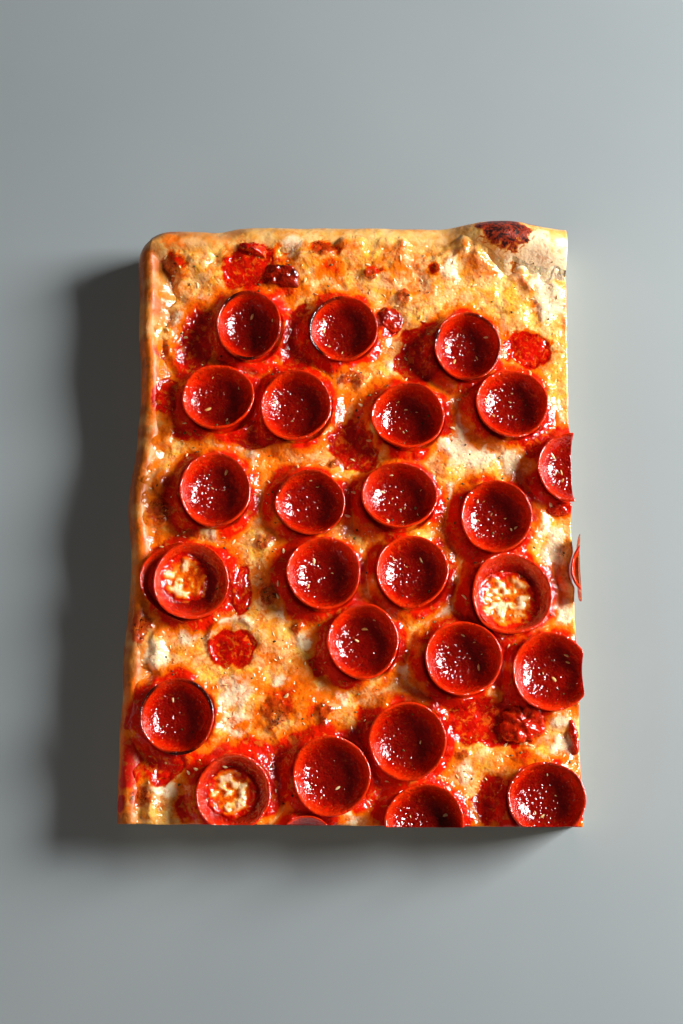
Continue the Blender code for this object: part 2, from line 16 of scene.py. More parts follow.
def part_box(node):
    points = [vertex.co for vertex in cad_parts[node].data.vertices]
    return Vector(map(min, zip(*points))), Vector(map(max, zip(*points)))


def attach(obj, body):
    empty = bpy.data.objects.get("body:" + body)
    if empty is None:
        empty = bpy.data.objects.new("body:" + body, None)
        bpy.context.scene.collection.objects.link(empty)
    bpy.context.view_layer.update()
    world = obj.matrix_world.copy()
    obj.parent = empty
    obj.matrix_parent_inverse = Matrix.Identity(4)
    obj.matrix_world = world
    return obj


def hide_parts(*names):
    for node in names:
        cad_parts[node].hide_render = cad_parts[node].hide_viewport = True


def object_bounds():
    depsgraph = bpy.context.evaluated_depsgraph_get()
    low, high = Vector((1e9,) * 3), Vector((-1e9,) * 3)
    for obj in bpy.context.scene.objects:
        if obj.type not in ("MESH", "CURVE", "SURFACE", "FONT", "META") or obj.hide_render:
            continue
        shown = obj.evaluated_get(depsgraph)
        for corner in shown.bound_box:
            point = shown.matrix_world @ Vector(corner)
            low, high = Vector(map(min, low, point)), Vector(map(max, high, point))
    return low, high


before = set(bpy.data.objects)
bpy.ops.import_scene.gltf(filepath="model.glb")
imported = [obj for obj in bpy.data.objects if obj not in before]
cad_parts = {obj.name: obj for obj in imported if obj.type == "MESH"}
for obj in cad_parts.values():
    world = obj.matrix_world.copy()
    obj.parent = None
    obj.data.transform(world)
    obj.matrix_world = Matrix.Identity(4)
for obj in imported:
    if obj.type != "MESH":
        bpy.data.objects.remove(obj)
cad_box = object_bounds()

MM = 0.001
HALF_WIDTH = 76.0
HALF_LENGTH = 104.5
FIELD = 17.0
CHEESE = 3.4
SHOULDER = 14.0
LEFT_CREST, LEFT_REACH, LEFT_HEIGHT = 5.0, 12.0, 22.5
BACK_CREST, BACK_REACH, BACK_HEIGHT = 7.0, 17.0, 24.5
# How far in the bubble's front slope runs, and the strip of the crust that is a dense mesh
BUBBLE_REACH = 24.0
CORNER = 12.0
CORNER_BACK = HALF_LENGTH - 1.8
BASE_INSET = 2.2


def table(kind, *rows):
    return [kind(*row) for row in rows]


# Low rises and dips: middle, reach and height
Swell = namedtuple("Swell", "x y reach_x reach_y height")
CRUST_SWELLS = table(
    Swell,
    (-61, 93, 15, 12, 2.4), (-44, 103, 6, 6, -2.0), (-22, 99, 17, 8, 1.3), (8, 101, 13, 7, 1.0),
    (33, 100, 7, 7, -2.2), (54, 95, 15, 11, 6.5), (71, 86, 7, 14, 3.0), (-71, 60, 7, 16, 1.6),
    (-72, 30, 6, 9, -1.5), (-72, -2, 6, 10, 1.2), (-70, -38, 6, 12, 0.9), (-70, -84, 7, 13, -1.2),
)
CHEESE_SWELLS = table(
    Swell,
    (-8, 80, 20, 8, 1.5), (28, 75, 13, 9, 1.4), (60, 70, 11, 13, 1.3), (1, 48, 10, 8, 1.2),
    (3, 20, 10, 9, 0.6), (36, 17, 13, 12, 1.5), (58, 16, 8, 10, 0.9), (-62, 62, 7, 12, 0.4),
    (-28, -14, 9, 13, 1.3), (-58, -45, 12, 8, 1.3), (-32, -36, 10, 9, 1.6), (-36, -62, 13, 11, 1.3),
    (-14, -65, 9, 8, 1.2), (22, -52, 8, 10, 0.9), (38, -74, 9, 12, 1.0), (44, -97, 9, 6, 1.0),
    (-66, -97, 9, 7, 1.0), (66, 2, 8, 14, 1.2), (10, -101, 4, 4, 1.6), (32, 58, 7, 9, -0.9),
    (-30, -96, 6, 7, -0.6),
)

# Bare sauce: middle, half length, half width, turn in degrees
Patch = namedtuple("Patch", "x y long wide turn")
SAUCE = {
    "sauce_01": Patch(-36, 87, 9, 6.5, 20),
    "sauce_02": Patch(-53, 61, 10.5, 5.5, 80),
    "sauce_03": Patch(-64, 40, 6.5, 4, 85),
    "sauce_04": Patch(-18.8, 60.5, 12, 4.5, 88),
    "sauce_05": Patch(24, 56.5, 9.8, 7.5, 60),
    "sauce_06": Patch(62, 58.5, 8, 5.5, -20),
    "sauce_07": Patch(63, 26, 8, 5, -45),
    "sauce_08": Patch(1.3, 23, 9, 7, -60),
    "sauce_09": Patch(-32.5, 26.5, 8, 4, 0),
    "sauce_10": Patch(-36.5, -28, 7.7, 3.2, 88),
    "sauce_11": Patch(-39.5, -47, 7.5, 5.6, 10),
    "sauce_12": Patch(46.5, -71, 15, 7, 5),
    "sauce_13": Patch(-60, -84.5, 7, 6, 40),
    "sauce_14": Patch(-21, -89, 7, 4, 88),
    "sauce_15": Patch(46.5, -94, 7, 4, 70),
}

# Cups: middle, half widths, lean in degrees and its direction, and how charred the rim is
Cup = namedtuple("Cup", "x y half_x half_y lean towards char")
CUPS = {
    "pepperoni_01": Cup(-35, 64.5, 11.4, 12.6, 3, 200, 0.75),
    "pepperoni_02": Cup(-2.5, 64, 12.1, 11.6, 4, 250, 0.8),
    "pepperoni_03": Cup(40, 57.5, 11.5, 12.2, 3, 300, 0.7),
    "pepperoni_04": Cup(-45, 38, 12.6, 11.6, 5, 150, 0.1),
    "pepperoni_05": Cup(-18.5, 35.5, 12.3, 12.5, 3, 160, 0.2),
    "pepperoni_06": Cup(20, 32, 12.5, 11.5, 4, 190, 0.15),
    "pepperoni_07": Cup(55, 36.5, 12.4, 12.1, 3, 90, 0.2),
    "pepperoni_08": Cup(75.5, 14.5, 11.8, 12, 5, 180, 0.3),
    "pepperoni_09": Cup(-46, 5.5, 11.9, 13, 4, 10, 0.3),
    "pepperoni_10": Cup(-13.5, 2, 11.9, 11.2, 3, 280, 0.4),
    "pepperoni_11": Cup(16.5, 3.5, 12.9, 11.5, 4, 70, 0.2),
    "pepperoni_12": Cup(49.5, -2.5, 12, 12.5, 4, 200, 0.2),
    "pepperoni_13": Cup(-53, -25.5, 12.6, 12.9, 3, 0, 0.1),
    "pepperoni_14": Cup(-9, -23, 12.4, 12.4, 5, 60, 0.15),
    "pepperoni_15": Cup(21, -22, 12.2, 12.5, 5, 110, 0.1),
    "pepperoni_16": Cup(53.5, -29.3, 13.4, 14, 3, 40, 0.1),
    "pepperoni_17": Cup(85, -20, 11.5, 11.5, 2, 0, 0.4),
    "pepperoni_18": Cup(4.7, -45.5, 11.8, 12.7, 4, 130, 0.1),
    "pepperoni_19": Cup(37, -51, 12.8, 12.4, 4, 50, 0.15),
    "pepperoni_20": Cup(66.8, -54.7, 13, 13, 3, 170, 0.2),
    "pepperoni_21": Cup(-56, -70, 12.1, 12.4, 2, 315, 0.9),
    "pepperoni_22": Cup(19.4, -77, 12.6, 12.7, 5, 240, 0.15),
    "pepperoni_23": Cup(-5.3, -88.6, 12.7, 13, 4, 225, 0.1),
    "pepperoni_24": Cup(-37.5, -94.5, 12.1, 12.4, 3, 0, 0.1),
    "pepperoni_25": Cup(24.5, -104.2, 12.8, 12.8, 4, 90, 0.1),
    "pepperoni_26": Cup(63.5, -96.2, 12.7, 12.2, 3, 80, 0.5),
    "pepperoni_27": Cup(-13.2, -111.2, 9.6, 9.6, 2, 90, 0.2),
}
CUT_RIGHT = {"pepperoni_08": 75.6, "pepperoni_17": 77.0, "pepperoni_20": 76.8}
CUT_FRONT = {"pepperoni_24": -104.6, "pepperoni_25": -104.9, "pepperoni_26": -104.4, "pepperoni_27": -104.3}
CUP_HEIGHT = 7.6
# Cheese inside cups: how far it spreads beyond the solid, and how far it lies to the right and back
Fill = namedtuple("Fill", "spread right back")
CHEESE_FILLS = {
    "pepperoni_13": Fill(1.5, -2.2, 2.2),
    "pepperoni_16": Fill(1.3, -0.8, -0.6),
    "pepperoni_24": Fill(1.7, -0.6, 0.8),
}

# Spots on the cheese: middle and reach. Cream is where it stayed pale, blisters are where it browned.
Spot = namedtuple("Spot", "x y reach_x reach_y")
CREAM_SPOTS = table(
    Spot,
    (-51.6, 76, 3.5, 3), (-32.4, 50.6, 4.6, 2.6), (-21, 95, 2.9, 4.2), (-3.6, 49.5, 4, 3.5),
    (-40, 23.7, 6.3, 2.9), (34.3, 86.6, 3.6, 4.3), (69.9, 77, 4.2, 9), (34, 43, 2.4, 3.6),
    (39, 25.5, 10, 9.6), (55, 18.3, 3.5, 4.8), (72.4, 33, 2.4, 5.4), (20.7, 20, 3.5, 3),
    (16, 52, 3.6, 2.4), (41.7, 19, 9, 5), (34.4, 6.3, 2.4, 4), (64.7, -4.3, 2.9, 4.4),
    (69.6, -13, 3.8, 9), (71.5, -34.4, 3.8, 5.3), (31.6, -34.7, 5.2, 4.8), (-44, -8.8, 6, 2.6),
    (-33.5, 17.5, 2.1, 4.2), (-53.8, -41, 4, 5), (-14.8, -45.3, 3, 3), (-21.4, -35.8, 3, 2.6),
    (-36.8, -62, 6, 5.6), (-36, -73, 5, 6), (-64, -49.6, 4, 5), (-22, -58.7, 3.3, 2.8),
    (-52, -84.3, 4.3, 3), (-60.3, -93.4, 4.9, 3.3), (-3.4, -64, 3.8, 3.3), (69.4, -79.7, 5, 6),
    (59, -81.4, 6, 3), (49, -62.5, 3.3, 3.9), (18, -51, 3.9, 5), (37.8, -86.3, 3.2, 3.9),
    (0.6, -101.9, 3.2, 2.2), (70.2, -70, 4, 3.3), (-60, 68, 2.9, 5), (66, 92, 12, 9),
)
BLISTERS = table(
    Spot,
    (-65.5, -0.7, 4.6, 5.7), (-69, -40.6, 4, 6), (-64.8, 87, 4, 4.8), (-27.5, -28.7, 3.6, 4),
    (-17.3, -40.3, 2.5, 3), (-0.7, 46.9, 6, 3.4), (-68, -96, 4.3, 4.6), (-23, -68.5, 5.6, 6),
    (-7.7, -67.3, 3.3, 5), (-64.9, 55.8, 3.4, 4.6), (-10.4, 93.3, 5.3, 3), (7, 85, 3.4, 1.9),
    (29.8, 86.9, 1.5, 1.5), (18.5, 76.8, 2.4, 3.7), (-28.9, -10.3, 3, 3), (-53.8, -8.4, 3, 1.6),
    (37.3, -81.5, 3, 2.2), (-3, 17, 4, 3), (12, 70, 3, 4),
)

# Where oil and tomato have reddened the cheese: small spots, and wide zones with their strength
RED_SPOTS = table(
    Spot,
    (-52.6, 62, 6, 11), (-64.9, 39.6, 4.5, 7), (-55.4, 28.3, 6, 3.5), (-36, 87.4, 9, 7),
    (-18.8, 60.4, 4.5, 13), (-32.5, 26.7, 8, 4.5), (23.9, 56.5, 8.5, 10), (61.7, 58.7, 9, 6.5),
    (62.7, 26.3, 6.5, 7), (1.3, 23.4, 7.5, 9), (13, 67.8, 4.5, 6), (-37, -28, 3.5, 8),
    (-39.7, -46.9, 7.5, 6), (-16.8, -6, 5, 3.5), (-61.8, -82.8, 7, 7), (-53.6, -99.7, 4, 6),
    (-20.5, -88.9, 4.5, 8), (-13.3, -103, 7.5, 3), (5.3, -72.6, 3, 7), (40.7, -70.2, 8, 7),
    (56.5, -71, 9, 8), (44.7, -96.3, 4, 7), (47.4, -17.9, 5, 3), (9.7, -99.8, 3, 4),
    (32.6, -25.7, 3, 6), (-10, -53.6, 3.5, 4.5), (-0.8, -58.5, 3.5, 3.5), (-30.5, 93, 7, 3),
    (-62, 89, 4, 4), (-10, 94, 6, 3), (8, 86, 5, 2), (29, 87, 3, 2), (-33, 45, 6, 4),
    (-73, -71, 1.5, 3), (-74, -98, 2, 5), (68, 8, 4, 5),
)
CHAR_SPOTS = [Spot(53, 100.2, 10.5, 7.6), Spot(66, 104, 6, 1.6)]
WARM_ZONES = table(
    Swell,
    (-42, 52, 26, 26, 0.55), (-14, 58, 14, 24, 0.5), (30, 50, 16, 12, 0.5), (60, 44, 10, 12, 0.35),
    (-35, 8, 18, 12, 0.25), (-20, -62, 18, 12, 0.22), (20, -10, 8, 8, 0.3), (52, -62, 12, 12, 0.45),
    (-46, -24, 18, 10, 0.45), (-35, -84, 34, 18, 0.45), (10, -90, 22, 14, 0.45), (52, -98, 20, 9, 0.45),
    (-57, 95, 13, 6, 0.17), (-5, 88, 30, 8, 0.27), (-68, 0, 6, 60, 0.2), (-72, -92, 6, 16, 0.3),
)


# Smooth steps, bells and noise over arrays

def smooth(low, high, value):
    share = np.clip((value - low) / (high - low), 0, 1)
    return share * share * (3 - 2 * share)


def hump(value, middle, reach):
    return np.exp(-(((value - middle) / reach) ** 2))


def dice(ix, iy, iz, seed):
    """An even random number from 0 to 1 for each whole-numbered place."""
    n = (ix * 374761393 + iy * 668265263 + iz * 1442695041 + seed * 1274126177) & 0x7FFFFFFF
    n = ((n ^ (n >> 13)) * 1103515245 + 12345) & 0x7FFFFFFF
    n = ((n ^ (n >> 15)) * 668265263) & 0x7FFFFFFF
    return ((n ^ (n >> 11)) & 0xFFFFF) / 0xFFFFF


def cloud(x, y, size, seed, z=0.0):
    """Smooth noise from -1 to 1 with lumps of a size in millimetres."""
    places = [np.asarray(v, dtype=float) / size for v in np.broadcast_arrays(x, y, z)]
    whole = [np.floor(v).astype(np.int64) for v in places]
    part = [v - w for v, w in zip(places, whole)]
    ease = [p * p * p * (p * (p * 6 - 15) + 10) for p in part]
    total = 0.0
    for dx in (0, 1):
        for dy in (0, 1):
            for dz in (0, 1):
                weight = 1.0
                for far, share in zip((dx, dy, dz), ease):
                    weight = weight * (share if far else 1 - share)
                total = total + weight * dice(whole[0] + dx, whole[1] + dy, whole[2] + dz, seed)
    return total * 2 - 1


def clouds(x, y, size, seed, octaves=3, z=0.0):
    """Noise with finer and finer lumps on it."""
    total, strength = 0.0, 1.0
    for octave in range(octaves):
        total = total + strength * cloud(x, y, size / 2**octave, seed + 17 * octave, z)
        strength *= 0.55
    return total


def cells(x, y, size, seed):
    """The distance to the nearest of many scattered points, about 0 to 1."""
    px, py = x / size, y / size
    ix, iy = np.floor(px).astype(np.int64), np.floor(py).astype(np.int64)
    nearest = np.full(np.shape(px), 9.0)
    for dx in (-1, 0, 1):
        for dy in (-1, 0, 1):
            cx = ix + dx + dice(ix + dx, iy + dy, 0, seed)
            cy = iy + dy + dice(ix + dx, iy + dy, 1, seed)
            nearest = np.minimum(nearest, np.hypot(px - cx, py - cy))
    return nearest


ripple_of = np.vectorize(lambda x, y, layer: noise.noise((x, y, layer)), otypes=[float])


def ripple(x, y, size, layer=0.0):
    return ripple_of(x / size, y / size, layer)


def swells(x, y, places):
    return sum(s.height * hump(x, s.x, s.reach_x) * hump(y, s.y, s.reach_y) for s in places)


def spots(x, y, places, ragged, seed):
    """1 inside any of the spots and 0 outside, with uneven edges."""
    wobble = ragged * clouds(x, y, 3.2, seed, 3)
    best = np.zeros(np.shape(x))
    for s in places:
        away = np.hypot((x - s.x) / s.reach_x, (y - s.y) / s.reach_y) + wobble
        best = np.maximum(best, 1 - smooth(0.55, 1.15, away))
    return best


# The slice's outline and its layers, as in the solids

ALONG = np.linspace(-125, 125, 1251)
LEFT_WAVE = 0.5 * ripple(0, ALONG, 14)
RIGHT_WAVE = 0.2 * ripple(0, ALONG, 12, 3.0)
BACK_WAVE = 0.4 * ripple(ALONG, 0, 13, 5.0)
FRONT_WAVE = 0.3 * ripple(ALONG, 0, 11, 7.0)
FOOT = {name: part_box(name)[0][2] / MM for name in CUPS}


def left_edge(y):
    x = -HALF_WIDTH + 2.4 * hump(y, 42, 26) + 1.5 * hump(y, -22, 20) - 0.9 * hump(y, 2, 9)
    past = np.clip(y - (CORNER_BACK - CORNER), 0, CORNER * 0.998)
    return x + CORNER - np.sqrt(CORNER**2 - past**2) + np.interp(y, ALONG, LEFT_WAVE)


def right_edge(y):
    return HALF_WIDTH - 0.9 * hump(y, 12, 60) + np.interp(y, ALONG, RIGHT_WAVE)


def back_edge(x):
    y = HALF_LENGTH - 1.8 * (1 - smooth(-50, -40, x)) + 2.1 * hump(x, 51, 15)
    return y + np.interp(x, ALONG, BACK_WAVE)


def front_edge(x):
    return -HALF_LENGTH + np.interp(x, ALONG, FRONT_WAVE)


def dough_top(x, y):
    """The crust rises from its shoulder over a rounded crest and falls to the flat field."""
    from_left = np.maximum(x - left_edge(np.minimum(y, CORNER_BACK - CORNER)), 0)
    from_back = np.maximum(back_edge(x) - y, 0)
    swell = swells(x, y, CRUST_SWELLS) + 0.5 * ripple(x, y, 9)
    left = (LEFT_HEIGHT + swell - FIELD) * (1 - smooth(LEFT_CREST, LEFT_REACH, from_left))
    back_reach = BACK_REACH + (BUBBLE_REACH - BACK_REACH) * smooth(38, 54, x)
    back = (BACK_HEIGHT + swell - FIELD) * (1 - smooth(BACK_CREST, back_reach, from_back))
    inner = np.where(from_back < BACK_CREST, back, np.maximum(left, back))
    rise = np.where(from_left < LEFT_CREST, left, inner)
    corner = CORNER - np.hypot(np.maximum(CORNER - from_left, 0), np.maximum(CORNER - from_back, 0))
    inward = np.clip(np.minimum(np.minimum(from_left, from_back), corner), 0, None)
    crest = LEFT_CREST + (BACK_CREST - LEFT_CREST) * smooth(-3, 3, from_left - from_back)
    share = 1 - np.clip(inward / crest, 0, 1)
    fullness = 2 + 0.8 * hump(x, 53, 15) * smooth(82, 94, y)
    return SHOULDER + (FIELD + rise - SHOULDER) * np.clip(1 - share**fullness, 0, 1) ** (1 / fullness)


def bed_top(x, y):
    """The dough, with the corner between its rim and its field filled by the melt."""
    from_left, from_back = x - left_edge(y), back_edge(x) - y
    swell = swells(x, y, CRUST_SWELLS)
    gentle = (BACK_HEIGHT + swell - FIELD - 1) * (1 - smooth(BACK_CREST, 27, from_back))
    beside = (LEFT_HEIGHT + swell - FIELD - 1) * (1 - smooth(LEFT_CREST, 16, from_left))
    behind_crest = smooth(7, 12, np.minimum(from_back, 9 + from_left))
    return np.maximum(dough_top(x, y), FIELD + np.maximum(gentle, beside) * behind_crest)


def left_border(y):
    """How far in from the left edge the cheese starts."""
    return 5 + 4 * smooth(55, 88, y) + 1.5 * cloud(0, y, 9, 41) + 1.1 * cloud(0, y, 3.5, 42)


def back_border(x):
    """How far in from the back edge the cheese starts. It stays clear of the bubble."""
    return 6.5 + 8.5 * smooth(40, 56, x) + 1.8 * cloud(x, 0, 8, 43) + 1.1 * cloud(x, 0, 3, 44)


def patch_distance(patch, x, y, seed):
    """0 at a patch's middle and 1 at its ragged edge."""
    turn = math.radians(patch.turn)
    along = (x - patch.x) * math.cos(turn) + (y - patch.y) * math.sin(turn)
    across = (y - patch.y) * math.cos(turn) - (x - patch.x) * math.sin(turn)
    ragged = 0.22 * clouds(0.8 * x + 0.6 * y, 0.8 * y - 0.6 * x, 4.5, seed, 3)
    return np.hypot(along / patch.long, across / patch.wide) + ragged


def sauce_cover(x, y):
    """1 in the middle of bare sauce, falling to 0 outside it."""
    cover = np.zeros(np.broadcast(x, y).shape)
    for number, patch in enumerate(SAUCE.values()):
        cover = np.maximum(cover, 1 - smooth(0.55, 1.45, patch_distance(patch, x, y, 60 + number)))
    return cover


def cup_distance(x, y, left_out=()):
    """How far the nearest cup's middle is, as a share of its reach, with its foot's height and its side."""
    nearest = np.full(np.broadcast(x, y).shape, 9.0)
    foot = np.full(nearest.shape, FIELD + CHEESE)
    side = np.zeros(nearest.shape)
    for name, cup in CUPS.items():
        if name in left_out:
            continue
        away = np.hypot((x - cup.x) / cup.half_x, (y - cup.y) / cup.half_y)
        closer = away < nearest
        foot = np.where(closer, FOOT[name], foot)
        side = np.where(closer, (x - cup.x) / cup.half_x / np.maximum(away, 0.1), side)
        nearest = np.where(closer, away, nearest)
    return nearest, foot, side


def strand(x, y):
    """A pale curl of cheese round the left and back of one sauce patch."""
    across, along = x + 38, y + 45.3
    side = np.cos(np.arctan2(along, across) - math.radians(135))
    return hump(np.hypot(across, along) + 0.5 * cloud(x, y, 4, 46), 8.4, 1.0) * smooth(-0.3, 0.4, side)


def cheese_height(x, y):
    """The top of the melted cheese, with its seats under the cups. At its border it dips into the crust."""
    from_left, from_back = x - left_edge(y), back_edge(x) - y
    wander = 1.1 * clouds(x, y, 4, 45, 2)
    inward = (from_left - left_border(y), from_back - back_border(x))
    body = math.prod(smooth(0, 9, far + wander * smooth(0, 3, far)) for far in inward)
    cover = sauce_cover(x, y)
    blister = spots(x, y, BLISTERS, 0.3, 31)
    cream = spots(x, y, CREAM_SPOTS, 0.35, 32)
    relief = swells(x, y, CHEESE_SWELLS) + 0.7 * ripple(x, y, 11, 2.0)
    lumps = 0.6 * clouds(x, y, 8, 11, 2) + 0.18 * np.abs(clouds(x, y, 4.2, 12, 2))
    lumps = lumps + 0.13 * cloud(x, y, 1.8, 13)
    strings = 0.3 * np.abs(clouds(0.8 * x + 0.6 * y, 0.3 * (0.8 * y - 0.6 * x), 3.4, 15, 2))
    lumps += strings * smooth(35, 70, y + 0.4 * x)
    lumps += 0.5 * cream + blister * (0.9 + 0.9 * (0.5 - cells(x, y, 2.6, 14)))
    lumps = lumps * (0.25 + 0.75 * smooth(8, 17, np.minimum(from_left + 5, from_back)))
    thickness = np.maximum(CHEESE + relief - 0.5 + lumps * (1 - 0.75 * cover) - 0.9 * cover, 1.1)
    height = dough_top(x, y) - 0.4 + (thickness + 0.65 + bed_top(x, y) - dough_top(x, y)) * body
    away, foot, side = cup_distance(x, y)
    uneven = 0.8 * cloud(x, y, 6, 16) + 0.45 * cloud(x, y, 2.3, 17)
    climb = np.clip(foot + 3.3 - 1.2 * side + uneven - height, 0, 5)
    height = height + climb * hump(np.maximum(away, 1), 1, 0.27) + 1.1 * strand(x, y)
    seated = 1 - smooth(0.88, 1.0, away)
    return height * (1 - seated) + (foot - 0.1) * seated


def tints(x, y):
    """Masks for the colours of the top: pale, browned, stained by oil, and wet with sauce. The golden mask
    is browning that along the left rim is also painted shade, and the stain round the cups is widened on
    their shaded left side to colour over the shade there.
    """
    away, _, side = cup_distance(x, y, ("pepperoni_17",))
    beyond = np.clip((away - 1) * 12 - 0.5, 0, 60)
    # The oil stain round each cup is real, but it reaches further and is stronger on the cups' left, where
    # they cast their shade: there red is painted over the shade.
    shaded_left = smooth(0.1, -0.8, side)
    reach = 3.4 + 1.8 * shaded_left
    halo = np.exp(-((beyond / reach) ** 1.4)) * (0.9 + 0.75 * clouds(x, y, 8, 25, 3) + 0.25 * shaded_left)
    warm = 1.6 * swells(x, y, WARM_ZONES) * (0.9 + 0.9 * clouds(x, y, 8, 26, 3))
    cover = sauce_cover(x, y)
    from_left, from_back = x - left_edge(np.minimum(y, CORNER_BACK - CORNER)), back_edge(x) - y
    at_back = (0.2 + 0.5 * smooth(-30, -50, x)) * smooth(12, 4, from_back) * smooth(54, 44, x)
    golden_and_shade = at_back + 0.4 * hump(x, 42, 9) * hump(y, 97, 9)
    # Painted shade: the browning along the left rim is made strong and wide enough to darken the inner
    # slope that faces the key light.
    golden_and_shade = np.maximum(golden_and_shade, 0.95 * smooth(13, 6, from_left)) * (0.85 + 0.6 * clouds(x, y, 8, 28, 3))
    red = spots(x, y, RED_SPOTS, 0.4, 33)
    stained = np.maximum(np.maximum(halo, 0.85 * red), np.maximum(warm, 0.95 * smooth(0, 0.8, cover)))
    return {
        "golden_and_shade": np.clip(golden_and_shade, 0, 1),
        "cream": np.maximum(spots(x, y, CREAM_SPOTS, 0.4, 32), strand(x, y)),
        "browned": spots(x, y, BLISTERS, 0.35, 31),
        "char": spots(x, y, CHAR_SPOTS, 0.2, 23),
        "stained": np.clip(stained + 0.25 * np.minimum(halo, warm + red), 0, 1),
        "saucy": np.clip(smooth(0.05, 0.6, cover) + 0.6 * smooth(0.5, 1, red), 0, 1),
    }


# Meshes

def quads(rows, columns, wrap=False, start=0):
    """The corner numbers of a grid's faces, joined round if it wraps."""
    numbers = np.arange(rows * columns).reshape(rows, columns) + start
    if wrap:
        numbers = np.concatenate([numbers, numbers[:, :1]], axis=1)
    corners = [numbers[:-1, :-1], numbers[:-1, 1:], numbers[1:, 1:], numbers[1:, :-1]]
    return np.stack(corners, axis=-1).reshape(-1, 4)


def build(name, points, faces, material, masks=None, body="root"):
    """Makes one piece from points in millimetres, outward faces and shading masks."""
    mesh = bpy.data.meshes.new(name)
    inside_cad = np.clip(points, np.array(cad_box[0]) / MM, np.array(cad_box[1]) / MM)
    mesh.from_pydata((inside_cad * MM).tolist(), [], [list(map(int, face)) for face in faces])
    for mask, values in (masks or {}).items():
        layer = mesh.attributes.new(mask, "FLOAT", "POINT")
        layer.data.foreach_set("value", np.asarray(values, dtype=np.float32).ravel())
    bm = bmesh.new()
    bm.from_mesh(mesh)
    loose = [vert for vert in bm.verts if not vert.link_faces]
    bmesh.ops.delete(bm, geom=loose, context="VERTS")
    bmesh.ops.recalc_face_normals(bm, faces=bm.faces)
    if bm.calc_volume(signed=True) < 0:
        bmesh.ops.reverse_faces(bm, faces=bm.faces)
    bm.to_mesh(mesh)
    bm.free()
    mesh.shade_smooth()
    mesh.materials.append(material)
    piece = bpy.data.objects.new(name, mesh)
    bpy.context.scene.collection.objects.link(piece)
    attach(piece, body)
    return piece


POCKETS = 430


def crumb_pockets(along, up, low, high, seed):
    """How deep the open crumb's pockets are at each point of a cut, in millimetres."""
    draw = np.random.default_rng(seed)
    depth = np.zeros(along.shape)
    for _ in range(POCKETS):
        radius = 0.5 + 2.6 * draw.random() ** 3.2
        middle = draw.uniform(low, high)
        level = draw.uniform(1.6 + radius, 16.2 - radius * 0.6)
        stretch = draw.uniform(1.1, 2.0)
        away = ((along - middle) / (radius * stretch)) ** 2 + ((up - level) / radius) ** 2
        depth = np.maximum(depth, 0.85 * radius * np.sqrt(np.clip(1 - away, 0, 1)))
    return np.minimum(depth, 2.3)


